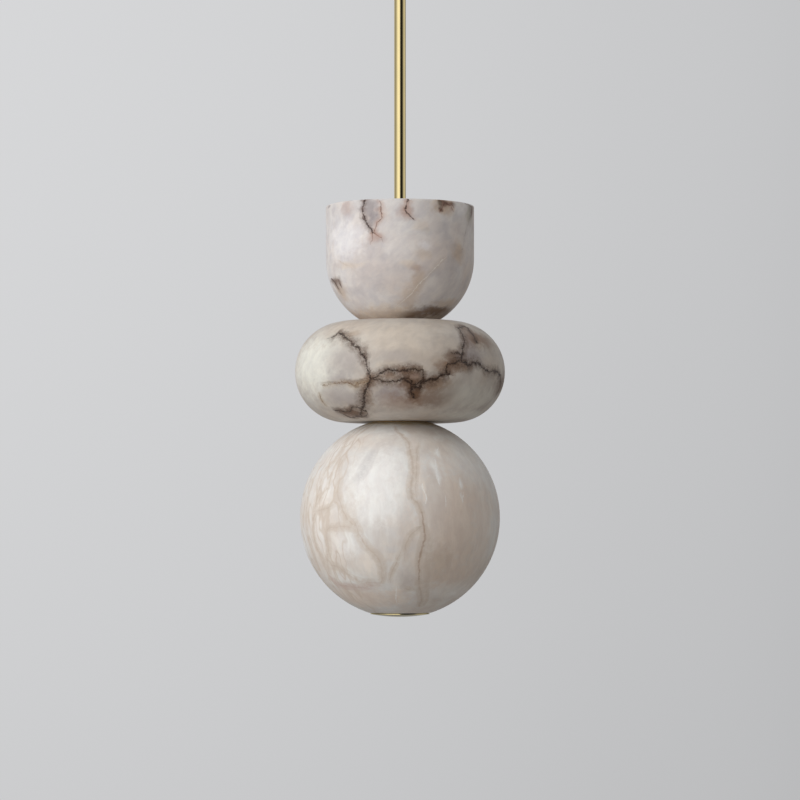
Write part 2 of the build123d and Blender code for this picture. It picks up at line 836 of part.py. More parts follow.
with BuildPart() as globe_core:
    with BuildSketch(Plane.XY.offset(globe_z - globe_core_height / 2)):
        RegularPolygon(globe_core_across / 2, core_sides, major_radius=False)
        Circle(thread_radius, mode=Mode.SUBTRACT)
    extrude(amount=globe_core_height)
globe_core.part.label = "globe_core"

with BuildPart() as core_nuts:
    with BuildSketch(
        Plane.XY.offset(disc_z + disc_core_height / 2),
        Plane.XY.offset(disc_z - disc_core_height / 2 - nut_height),
        Plane.XY.offset(globe_z + globe_core_height / 2),
        Plane.XY.offset(globe_z - globe_core_height / 2 - nut_height),
    ):
        RegularPolygon(nut_across_flats / 2, 6, major_radius=False)
        Circle(thread_radius, mode=Mode.SUBTRACT)
    extrude(amount=nut_height)
core_nuts.part.label = "core_nuts"


def side_length(across_flats):
    return across_flats * tan(radians(180 / core_sides))


disc_board_width = side_length(disc_core_across) - 2 * board_side_margin
disc_board_length = disc_core_height - 2 * board_end_margin
disc_led_rows = int(disc_board_length // led_pitch)
face_turn = 180 / core_sides
with BuildPart() as disc_boards:
    with PolarLocations(disc_core_across / 2, core_sides, start_angle=face_turn):
        with Locations((0, 0, disc_z)):
            Box(
                board_thickness,
                disc_board_width,
                disc_board_length,
                align=(Align.MIN, Align.CENTER, Align.CENTER),
            )
    with PolarLocations(disc_core_across / 2 + board_thickness, core_sides, start_angle=face_turn):
        for row in range(disc_led_rows):
            led_z = disc_z + (row - (disc_led_rows - 1) / 2) * led_pitch
            with Locations((0, 0, led_z)):
                Box(
                    led_height,
                    led_size,
                    led_size,
                    align=(Align.MIN, Align.CENTER, Align.CENTER),
                )
disc_boards.part.label = "disc_boards"

globe_board_width = side_length(globe_core_across) - 2 * board_side_margin
globe_board_length = globe_core_height - 2 * board_end_margin
globe_led_rows = int(globe_board_length // led_pitch)
with BuildPart() as globe_boards:
    with PolarLocations(globe_core_across / 2, core_sides, start_angle=face_turn):
        with Locations((0, 0, globe_z)):
            Box(
                board_thickness,
                globe_board_width,
                globe_board_length,
                align=(Align.MIN, Align.CENTER, Align.CENTER),
            )
    with PolarLocations(globe_core_across / 2 + board_thickness, core_sides, start_angle=face_turn):
        for row in range(globe_led_rows):
            led_z = globe_z + (row - (globe_led_rows - 1) / 2) * led_pitch
            with Locations((0, 0, led_z)):
                Box(
                    led_height,
                    led_size,
                    led_size,
                    align=(Align.MIN, Align.CENTER, Align.CENTER),
                )
globe_boards.part.label = "globe_boards"


pieces = [
    ceiling_plate,
    cable_bush,
    terminal_block,
    terminal_barrels,
    terminal_screws,
    led_driver,
    driver_screws,
    canopy,
    canopy_screws,
    swivel_spindle,
    spindle_nuts,
    swivel_cap,
    swivel_socket,
    ball_stud,
    stem_grub_screw,
    stem_tube,
    stem_coupler,
    threaded_tube,
    bowl_felt,
    clamp_plate,
    clamp_nut,
    uplight_board,
    uplight_diffuser,
    alabaster_bowl,
    alabaster_disc,
    alabaster_globe,
    upper_centring_plate,
    lower_centring_plate,
    upper_gasket,
    lower_gasket,
    bottom_plate,
    bottom_felt,
    disc_core,
    globe_core,
    core_nuts,
    disc_boards,
    globe_boards,
]
os.makedirs("parts", exist_ok=True)
for piece in pieces:
    export_step(piece.part, f"parts/{piece.part.label}.step")
print("ball centre", ball_z, "rim", bowl_rim_z, "disc", disc_z, "globe", globe_z, "foot", bottom_under_z)
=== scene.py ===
# Alabaster pendant light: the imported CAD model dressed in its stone, brass and plastic.
from math import cos, pi, radians, sin, sqrt
import bmesh
import bpy
from mathutils import Matrix, Vector


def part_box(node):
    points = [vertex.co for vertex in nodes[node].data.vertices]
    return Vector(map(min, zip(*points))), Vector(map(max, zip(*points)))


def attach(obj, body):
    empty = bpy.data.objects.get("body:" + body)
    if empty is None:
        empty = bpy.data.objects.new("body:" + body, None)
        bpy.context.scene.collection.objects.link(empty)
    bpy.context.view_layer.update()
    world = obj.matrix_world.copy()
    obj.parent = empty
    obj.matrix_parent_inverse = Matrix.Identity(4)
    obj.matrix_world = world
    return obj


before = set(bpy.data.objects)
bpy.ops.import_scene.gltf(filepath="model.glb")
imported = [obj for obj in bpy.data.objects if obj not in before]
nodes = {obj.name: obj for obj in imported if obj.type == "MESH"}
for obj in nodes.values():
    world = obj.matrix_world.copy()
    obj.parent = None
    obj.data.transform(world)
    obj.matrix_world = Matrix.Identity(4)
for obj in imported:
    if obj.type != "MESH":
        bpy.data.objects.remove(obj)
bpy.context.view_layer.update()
scene = bpy.context.scene
mm = 0.001
noiseSpan = (0.3, 0.7)  # nearly all of a noise lies between these

# helpers


def tone(red, green, blue):
    # an sRGB colour of 0 to 255 as Blender's linear colour
    parts = [value / 255 for value in (red, green, blue)]
    return tuple(p / 12.92 if p <= 0.04045 else ((p + 0.055) / 1.055) ** 2.4 for p in parts) + (1,)


def feed(tree, socket, value):
    if isinstance(value, bpy.types.NodeSocket):
        tree.links.new(value, socket)
    else:
        socket.default_value = value


def addNode(tree, kind, inputs=None, **settings):
    made = tree.nodes.new("ShaderNode" + kind)
    for key, value in settings.items():
        setattr(made, key, value)
    for key, value in (inputs or {}).items():
        feed(tree, made.inputs[key], value)
    return made


def calc(tree, operation, *values):
    return addNode(tree, "Math", dict(enumerate(values)), operation=operation).outputs[0]


def product(tree, first, *others):
    made = first
    for other in others:
        made = calc(tree, "MULTIPLY", made, other)
    return made


def vec(tree, operation, *values):
    made = addNode(tree, "VectorMath", dict(enumerate(values)), operation=operation)
    return made.outputs[1 if operation in ("LENGTH", "DOT_PRODUCT") else 0]


def scaled(tree, vector, amount):
    return addNode(tree, "VectorMath", {0: vector, 3: amount}, operation="SCALE").outputs[0]


def ramp(tree, value, low, high, toLow=0.0, toHigh=1.0, smooth=True):
    made = addNode(tree, "MapRange", {"Value": value, "From Min": low, "From Max": high,
                                      "To Min": toLow, "To Max": toHigh},
                   interpolation_type="SMOOTHSTEP" if smooth else "LINEAR")
    return made.outputs[0]


def blend(tree, amount, first, second, kind="MIX"):
    made = addNode(tree, "Mix", {0: amount, 6: first, 7: second}, data_type="RGBA", blend_type=kind)
    return made.outputs[2]


def noise(tree, place, size, detail, rough=0.5, colour=False):
    # noise whose lumps are about size across, in the units of place
    inputs = {"Vector": place, "Scale": 1 / size, "Detail": detail, "Roughness": rough}
    return addNode(tree, "TexNoise", inputs).outputs["Color" if colour else "Fac"]


def curve(tree, value, points):
    made = addNode(tree, "FloatCurve", {"Value": value})
    mapping = made.mapping
    mapping.use_clip = False
    line = mapping.curves[0]
    line.points[0].location = points[0]
    line.points[-1].location = points[-1]
    for point in points[1:-1]:
        line.points.new(*point)
    for point in line.points:
        point.handle_type = "AUTO_CLAMPED"
    mapping.extend = "HORIZONTAL"
    mapping.update()
    return made.outputs[0]


def newMaterial(name):
    material = bpy.data.materials.new(name)
    material.use_nodes = True
    tree = material.node_tree
    tree.nodes.clear()
    shader = addNode(tree, "BsdfPrincipled")
    out = addNode(tree, "OutputMaterial")
    tree.links.new(shader.outputs[0], out.inputs[0])
    place = scaled(tree, addNode(tree, "TexCoord").outputs["Object"], 1000.0)  # millimetres
    return material, tree, shader, place


def dress(tree, shader, colour, rough, height, bump, metal=0.0):
    # a material's surface; bump is a strength and a depth in millimetres
    strength, depth = bump
    bumps = addNode(tree, "Bump", {"Strength": strength, "Distance": depth * mm, "Height": height})
    inputs = {"Base Color": colour, "Roughness": rough, "Metallic": metal, "Normal": bumps.outputs[0]}
    for name, value in inputs.items():
        feed(tree, shader.inputs[name], value)


def dressNode(nodeName, finish):
    for slot in nodes[nodeName].material_slots:
        slot.material = finish


def makeMilky(shader, weight, tint, reach):
    # light goes reach millimetres into it
    shader.inputs["Subsurface Weight"].default_value = weight
    shader.inputs["Subsurface Radius"].default_value = tint
    shader.inputs["Subsurface Scale"].default_value = reach * mm


def grey(tree, level):
    return addNode(tree, "CombineColor", {0: level, 1: level, 2: level}).outputs[0]


def addObject(name, data):
    made = bpy.data.objects.new(name, data)
    scene.collection.objects.link(made)
    return made


def addMesh(name, shape, finish):
    mesh = bpy.data.meshes.new(name)
    shape.to_mesh(mesh)
    shape.free()
    mesh.materials.append(finish)
    return addObject(name, mesh)


# stone

steepest = 2.6  # a vein seen across its run is widened at most this much
patchEdge = (1.25, 0.2)  # how far out a patch ends and begins to fade, in its own reaches
softSwings = [(30.0, 7.0), (9.0, 5.0)]  # as for warped, below
stoneBody = {"milky": (0.3, (1.0, 0.9, 0.8), 8), "bend": 1.52, "bump": (0.12, 0.1), "ragged": 1.3,
             "speckFade": 1.4, "speckStrength": 0.6}
stoneGrains = {  # size in millimetres, detail, roughness; then the limits and what they give
    "cloud": ((42.0, 4.0, 0.55), (0.38, 0.66)),
    "veil": ((18.0, 3.0, 0.5), (0.46, 0.7, 0.0, 0.6)),
    "spots": ((3.2, 3.0, 0.65), None),
    "edge": ((5.0, 5.0, 0.64), None),
    "wisp": ((7.0, 3.0, 0.5), (0.32, 0.68)),
    "thread": ((11.0, 1.0, 0.4), None),
    "beads": ((2.0, 3.0, 0.7), (0.32, 0.68, 0.25, 1.6)),
    "smoke": ((4.0, 4.0, 0.68), (0.32, 0.6, 0.42, 1.0)),
    "dark": ((1.5, 2.0, 0.6), (0.35, 0.58, 0.6, 1.0)),
    "speck": ((1.5, 2.0, 0.6), (0.53, 0.62)),
    "crystals": ((2.2, 4.0, 0.7), (*noiseSpan, 0.955, 1.0)),
    "polish": ((14.0, 4.0, 0.6), (*noiseSpan, 0.42, 0.56)),
    "grain": ((0.9, 3.0, 0.6), None),
}


def warped(tree, place, swings):
    # the place moved by noise: each swing is a lump size and a reach, in millimetres
    moved = place
    for size, reach in swings:
        push = vec(tree, "SUBTRACT", noise(tree, place, size, 1.0, colour=True), (0.5, 0.5, 0.5))
        moved = vec(tree, "ADD", moved, scaled(tree, push, reach))
    return moved


def unrolled(tree, place, stone):
    # two surface coordinates of a turned stone, in millimetres: round it from the front, and up it
    parts = addNode(tree, "SeparateXYZ", {0: place}).outputs
    front = product(tree, parts[1], -1.0)
    around = product(tree, calc(tree, "ARCTAN2", parts[0], front), stone["radius"])
    behind = product(tree, calc(tree, "ARCTAN2", product(tree, parts[0], -1.0), parts[1]), stone["radius"])
    up = calc(tree, "SUBTRACT", parts[2], stone["level"])
    if stone["arc"]:
        reach = calc(tree, "SQRT", calc(tree, "ADD", calc(tree, "POWER", parts[0], 2.0),
                                        calc(tree, "POWER", parts[1], 2.0)))
        out = calc(tree, "SUBTRACT", reach, stone["radius"] - stone["arc"])
        up = product(tree, calc(tree, "ARCTAN2", up, out), stone["arc"])
    return around, behind, up


def newGroup(name, takes, gives):
    # a node group with plain number or vector inputs, and its ends
    group = bpy.data.node_groups.new(name, "ShaderNodeTree")
    for way, words in (("INPUT", takes), ("OUTPUT", gives)):
        for word in words.split():
            kind = "NodeSocketVector" if word.startswith("at") else "NodeSocketFloat"
            group.interface.new_socket(word, in_out=way, socket_type=kind)
    return group, group.nodes.new("NodeGroupInput").outputs, group.nodes.new("NodeGroupOutput").inputs


# a vein's halo and line where its middle is known: gap is measured across its run
tree, takes, gives = newGroup("vein", "along across middle shape start end low span width halo beads fade",
                              "halo line")
centre = calc(tree, "MULTIPLY_ADD", takes["middle"], takes["span"], takes["low"])
gap = calc(tree, "ABSOLUTE", calc(tree, "SUBTRACT", takes["across"], centre))
afterStart = calc(tree, "GREATER_THAN", takes["along"], takes["start"])
beforeEnd = calc(tree, "LESS_THAN", takes["along"], takes["end"])
present = product(tree, takes["shape"], steepest, afterStart, beforeEnd)
reach = product(tree, calc(tree, "MAXIMUM", present, 1.0), takes["halo"])
halo = calc(tree, "POWER", ramp(tree, gap, reach, 0.0, smooth=False), takes["fade"])
feed(tree, gives["halo"], product(tree, halo, calc(tree, "MINIMUM", present, 1.0)))
reach = product(tree, present, takes["beads"], takes["width"])
feed(tree, gives["line"], ramp(tree, gap, reach, 0.0))
veinGroup = tree

# a soft patch round a place, with an edge that noise makes ragged
tree, takes, gives = newGroup("patch", "atPlace atCentre atReach strength ragged", "amount")
away = vec(tree, "SUBTRACT", takes["atPlace"], takes["atCentre"])
away = vec(tree, "LENGTH", vec(tree, "DIVIDE", away, takes["atReach"]))
away = ramp(tree, calc(tree, "ADD", away, takes["ragged"]), *patchEdge)
feed(tree, gives["amount"], product(tree, away, takes["strength"]))
patchGroup = tree


def useGroup(tree, group, **inputs):
    made = tree.nodes.new("ShaderNodeGroup")
    made.node_tree = group
    for name, value in inputs.items():
        feed(tree, made.inputs[name], value)
    return made.outputs


def vein(tree, along, across, route, **more):
    # a vein along its points: where it is along and across, and its thickness there
    start, end = route[0][0], route[-1][0]
    low, high = min(b for a, b, thick in route), max(b for a, b, thick in route)
    span = max(high - low, 1.0)
    run = ramp(tree, along, start, end, smooth=False)
    shape = []
    for i, (a, b, thick) in enumerate(route):
        before, after = route[max(i - 1, 0)], route[min(i + 1, len(route) - 1)]
        slope = (after[1] - before[1]) / (after[0] - before[0])
        wide = thick * min(sqrt(1 + slope * slope), steepest) / steepest
        shape.append(((a - start) / (end - start), wide))
    middle = curve(tree, run, [((a - start) / (end - start), (b - low) / span) for a, b, thick in route])
    return useGroup(tree, veinGroup, along=along, across=across, middle=middle,
                    shape=curve(tree, run, shape), start=start, end=end, low=low, span=span, **more)


def stoneNoise(tree, place, kind, **how):
    grain, limits = stoneGrains[kind]
    spread = noise(tree, place, *grain)
    return ramp(tree, spread, *limits, **how) if limits else spread


def stoneMaterial(name, stone):
    material, tree, shader, place = newMaterial(name)
    jagged = warped(tree, place, stone["jag"])
    soft = warped(tree, place, softSwings)
    around, behind, up = unrolled(tree, jagged, stone)
    softAround, softBehind, softUp = unrolled(tree, soft, stone)
    lean, stretch = stone["streak"]
    turned = addNode(tree, "VectorRotate", {0: soft, 3: radians(lean)}, rotation_type="Y_AXIS").outputs[0]
    drawn = vec(tree, "MULTIPLY", turned, (1.0, 1.0, stretch))

    # clouds of cream and cool grey in the white
    colour = blend(tree, stoneNoise(tree, soft, "cloud"), stone["white"], stone["cream"])
    colour = blend(tree, stoneNoise(tree, drawn, "veil"), colour, stone["grey"])

    # broad patches of another tone
    spots = stoneNoise(tree, place, "spots")
    ragged = calc(tree, "MULTIPLY_ADD", stoneNoise(tree, place, "edge"), stoneBody["ragged"],
                  -stoneBody["ragged"] / 2)
    flat = {side: addNode(tree, "CombineXYZ", {0: turn, 1: softUp}).outputs[0]
            for side, turn in (("front", softAround), ("back", softBehind))}
    for side, at in flat.items():
        for centre, reach, paint, strength, *limits in stone[side + "Patches"]:
            amount = useGroup(tree, patchGroup, atPlace=at, atCentre=centre + (0,), atReach=reach + (1,),
                              strength=strength, ragged=ragged)[0]
            if limits:
                amount = product(tree, amount, ramp(tree, spots, *limits))
            colour = blend(tree, amount, colour, tone(*stone["paints"][paint]))

    # fine wisps, warm and cool by turns
    wisps = blend(tree, stoneNoise(tree, drawn, "wisp"), *stone["wisps"])
    colour = blend(tree, 1.0, colour, wisps, "MULTIPLY")

    # a web of fine threads over one side
    if "web" in stone:
        web = stone["web"]
        thread = stoneNoise(tree, vec(tree, "MULTIPLY", flat["front"], web["draw"]), "thread")
        thread = calc(tree, "ABSOLUTE", calc(tree, "SUBTRACT", thread, 0.5))
        amount = product(tree, ramp(tree, softAround, web["end"], web["end"] - web["fadeOut"]),
                         ramp(tree, softAround, web["start"], web["start"] + web["fadeIn"]),
                         ramp(tree, thread, web["width"], 0.0), web["strength"])
        colour = blend(tree, amount, colour, tone(*web["paint"]))

    # veins: a smoky halo first, then the thin line and its specks
    beads = stoneNoise(tree, place, "beads", smooth=False)
    smoke = stoneNoise(tree, soft, "smoke")
    dark = stoneNoise(tree, place, "dark")
    speck = stoneNoise(tree, place, "speck")
    haze, lines = {}, {}
    for side, turn in (("front", around), ("back", behind)):
        for way, width, haloWidth, haloKind, lineKind, route in stone[side + "Veins"]:
            along, across = turn, up
            route = [(u, v, *(thick or [1])) for u, v, *thick in route]
            if way == "up":
                along, across = up, turn
                route = [(v, u, thick) for u, v, thick in route]
            made = vein(tree, along, across, route, width=width, halo=haloWidth, beads=beads,
                        fade=stone["fade"])
            haze[haloKind] = calc(tree, "MAXIMUM", haze.get(haloKind, 0.0), made["halo"])
            if width:
                lines[lineKind] = calc(tree, "MAXIMUM", lines.get(lineKind, 0.0), made["line"])
    for kind, amount in haze.items():
        paint, strength, specks = stone["halos"][kind]
        colour = blend(tree, product(tree, amount, smoke, strength), colour, tone(*paint))
        if specks:
            near = calc(tree, "POWER", amount, stoneBody["speckFade"])
            near = product(tree, near, speck, stoneBody["speckStrength"])
            colour = blend(tree, near, colour, tone(*specks))
    for kind, amount in lines.items():
        paint, strength = stone["lines"][kind]
        colour = blend(tree, product(tree, amount, dark, strength), colour, tone(*paint))

    # crystals, sheen and depth
    crystals = stoneNoise(tree, drawn, "crystals")
    colour = blend(tree, 1.0, colour, grey(tree, crystals), "MULTIPLY")
    makeMilky(shader, *stoneBody["milky"])
    shader.inputs["IOR"].default_value = stoneBody["bend"]
    dress(tree, shader, colour, stoneNoise(tree, place, "polish"), stoneNoise(tree, place, "grain"),
          stoneBody["bump"])
    return material


# bowl: cloudy white, a dark V and rusty threads at the rim, brown at the foot with a band of painted shade
# all round it
bowl = {
    "radius": 63.5, "level": -310.5, "arc": 0.0, "streak": (-52.0, 0.55),
    "jag": [(13.0, 4.0), (4.5, 3.0), (1.7, 1.3)], "fade": 1.3,
    "white": tone(228, 226, 225), "cream": tone(221, 213, 208), "grey": tone(201, 197, 198),
    "wisps": [tone(242, 240, 241), tone(255, 253, 251)],
    "halos": {"smoky": ((112, 86, 74), 0.85, (56, 36, 30)), "rust": ((184, 150, 134), 0.8, None),
              "pale": ((206, 192, 178), 0.5, None)},
    "lines": {"dark": ((46, 28, 24), 1.0), "rust": ((98, 66, 52), 0.85), "light": ((240, 236, 230), 0.8),
              "ochre": ((174, 158, 130), 0.35)},
    "paints": {"chalk": (244, 244, 246), "pearl": (230, 226, 223), "putty": (222, 207, 190),
               "tan": (204, 181, 156), "rose": (184, 156, 146), "sage": (150, 146, 118),
               "lilac": (146, 138, 142), "umber": (110, 82, 58), "bark": (80, 62, 42),
               "coffee": (66, 44, 32)},
    "frontPatches": [  # place round and up, reach, paint, strength, limits of the spots
        # the first patch, tan all round at the foot, is painted shade where the bowl sits on the disc
        ((0, -98), (600, 8), "tan", 0.6), ((-26, -8.5), (9, 12.5), "lilac", 0.7),
        ((-22.5, -17.5), (5.5, 7.5), "lilac", 0.55), ((-19.5, -32), (8, 6.5), "rose", 0.55),
        ((-52, -32.5), (27.5, 21), "chalk", 0.7), ((2.5, -40), (18.5, 14), "pearl", 0.8),
        ((12.5, -4.5), (13.5, 9), "pearl", 0.5), ((6, -9.5), (6, 9), "rose", 0.6),
        ((18, -23), (9.5, 6), "putty", 0.35), ((22.5, -28), (4.5, 4), "sage", 0.12),
        ((40.5, -5.5), (14, 9), "tan", 0.7), ((39, -2.5), (6, 4), "bark", 1),
        ((36.5, -8), (2.5, 2.5), "coffee", 1), ((47.5, -3.5), (6.5, 2), "umber", 0.95),
        ((62.5, -5), (14.5, 9.5), "chalk", 0.9), ((65, -30), (10, 22), "pearl", 0.6),
        ((72.5, -16.5), (7.5, 10), "pearl", 0.7), ((56, -44), (9.5, 10), "tan", 0.6),
        ((20.5, -46), (10, 6), "putty", 0.55), ((22.5, -38), (7, 4), "chalk", 0.5),
        ((14.5, -57.5), (8.5, 3.5), "rose", 0.5), ((7, -55), (9.5, 4), "putty", 0.45),
        ((16.5, -67.5), (7.5, 13), "tan", 0.5), ((10.5, -82), (12, 12), "tan", 0.45),
        ((48, -90), (34.5, 4), "umber", 0.65), ((60.5, -84.5), (26.5, 4), "tan", 0.5),
        ((59.5, -91.5), (39.5, 4), "umber", 0.7), ((22.5, -95), (36, 3), "umber", 0.75),
        ((-26, -92), (48.5, 7), "putty", 0.7), ((-73, -65.5), (11, 4.5), "umber", 0.65),
        ((-70, -73.5), (12.5, 8.5), "tan", 0.5), ((-49.5, -6), (8.5, 9.5), "rose", 0.45),
        ((-80, -1.5), (6, 2), "lilac", 0.7), ((-49, -54), (19.5, 3), "putty", 0.5),
        ((43.5, -71.5), (24.5, 10.5), "pearl", 0.6), ((0, -12), (5, 6), "rose", 0.35),
        ((76, -8.5), (9, 11), "sage", 0.45), ((15.5, -96), (9.5, 1.5), "umber", 0.6),
    ],
    "backPatches": [
        ((36, -12), (12, 18), "lilac", 0.8), ((-12, -6), (11, 9), "rose", 0.7),
        ((-12, -5), (8, 7), "umber", 0.9, 0.42, 0.52), ((-50, -88), (40, 14), "sage", 0.75),
        ((20, -54), (20, 12), "tan", 0.55), ((-70, -30), (30, 30), "pearl", 0.7),
        ((5, -30), (26, 22), "pearl", 0.7), ((62, -64), (30, 22), "putty", 0.6),
        ((-20, -70), (40, 18), "putty", 0.6),
    ],
    "frontVeins": [  # way, width, halo, colours, route: place round and up, thickness if not 1
        ("up", 1.05, 4.6, "smoky", "dark", [(-22.1, -29, 0.8), (-25.5, -24.6, 1.1),
         (-27.7, -20.8, 1.1), (-30.5, -16.5), (-32, -12.2), (-33, -7.9, 1.2), (-31.1, -3.9, 1.3),
         (-31.4, -0.9, 1.6), (-30.8, 0, 1.6)]),
        ("up", 0.75, 4.6, "rust", "rust", [(-22.1, -29, 0.9), (-19.6, -22, 0.8), (-17.4, -17, 0.9),
         (-15.1, -12.9, 1.2), (-16.8, -9.9, 1.6), (-15.9, -4.5, 0.8), (-16.9, -1.5, 0.7),
         (-17.2, -0.4, 0.6)]),
        ("up", 0.75, 6, "rust", "rust", [(-26.8, -40.1, 0), (-24.3, -32.7, 0.6), (-22.3, -28.1, 0.9)]),
        ("up", 0.75, 6, "rust", "rust", [(-13.1, -38, 0), (-17.4, -32.1, 0.6), (-21.8, -28.2, 0.9)]),
        ("up", 1, 5.6, "rust", "dark", [(12.7, -19.6, 0), (8, -14.9), (5.9, -12.2, 1.2),
         (4.2, -8.9, 1.2), (4.9, -5.5, 1.2), (6.5, -1.8, 1.3), (6.7, -0.7, 1.3)]),
        ("up", 1.2, 6, "smoky", "rust", [(58, -45.8, 0), (63.3, -36.9, 0.1), (66.7, -27.3, 0.1),
         (74.8, -13.8, 0.25), (80.2, -9, 0.8), (82.5, -2.7), (65.5, 0, 0.6)]),
        ("up", 0.6, 3.6, "pale", "light", [(-8.1, -92.7, 0), (1.1, -86.1, 0.8), (8.3, -80.6, 0.9),
         (14.6, -74.9, 0.8), (21.2, -67.5), (27.8, -60), (35.7, -52.2), (44.4, -45, 0)]),
        ("up", 0.5, 5, "pale", "ochre", [(-38.3, -64.1, 0), (-45.9, -56.2, 0.4), (-54, -52.8, 0.5),
         (-63.7, -48.7, 0)]),
        ("up", 1.2, 6, "smoky", "dark", [(-73.7, -78.1, 0), (-74.3, -73, 0.6), (-75.6, -68.3, 0.9),
         (-78.7, -65.2, 1.3), (-84.7, -63, 0)]),
        ("up", 1.05, 4.8, "smoky", "dark", [(-69.9, -74.2, 0), (-67, -70.2, 0.7), (-66.8, -66.1),
         (-67.9, -63.5, 0)]),
        ("level", 0.9, 3.4, "rust", "rust", [(40, -2.6, 1.3), (43.8, -3.1, 1.2), (47.5, -3.8, 1.2),
         (51.1, -6, 0)]),
        ("up", 0.8, 3.4, "rust", "rust", [(35.4, -12, 0), (36.6, -9, 1.2), (38.5, -5.5),
         (39.5, -2.5, 1.2), (36, 0)]),
        ("up", 0.7, 3.4, "rust", "rust", [(50.3, -9.7, 0), (48.2, -6.5), (49.3, -3.5, 0.8)]),
    ],
    "backVeins": [
        ("up", 0.9, 5, "smoky", "dark", [(36, -42, 0), (31, -30, 0.9), (34, -20), (28, -10, 1.2),
         (30, 3, 1.4)]),
        ("up", 0.6, 5, "rust", "rust", [(-48, -48, 0), (-43, -34, 0.8), (-46, -20, 1.1), (-40, -12),
         (-44, 3, 1.2)]),
        ("up", 0.6, 4, "rust", "rust", [(34, -32, 0.5), (38, -22, 0.9), (42, -10), (44, 3, 0.8)]),
        ("up", 0.5, 3, "pale", "light", [(8, -92, 0), (24, -76), (40, -60, 0.9), (56, -44),
         (70, -28, 0)]),
    ],
}

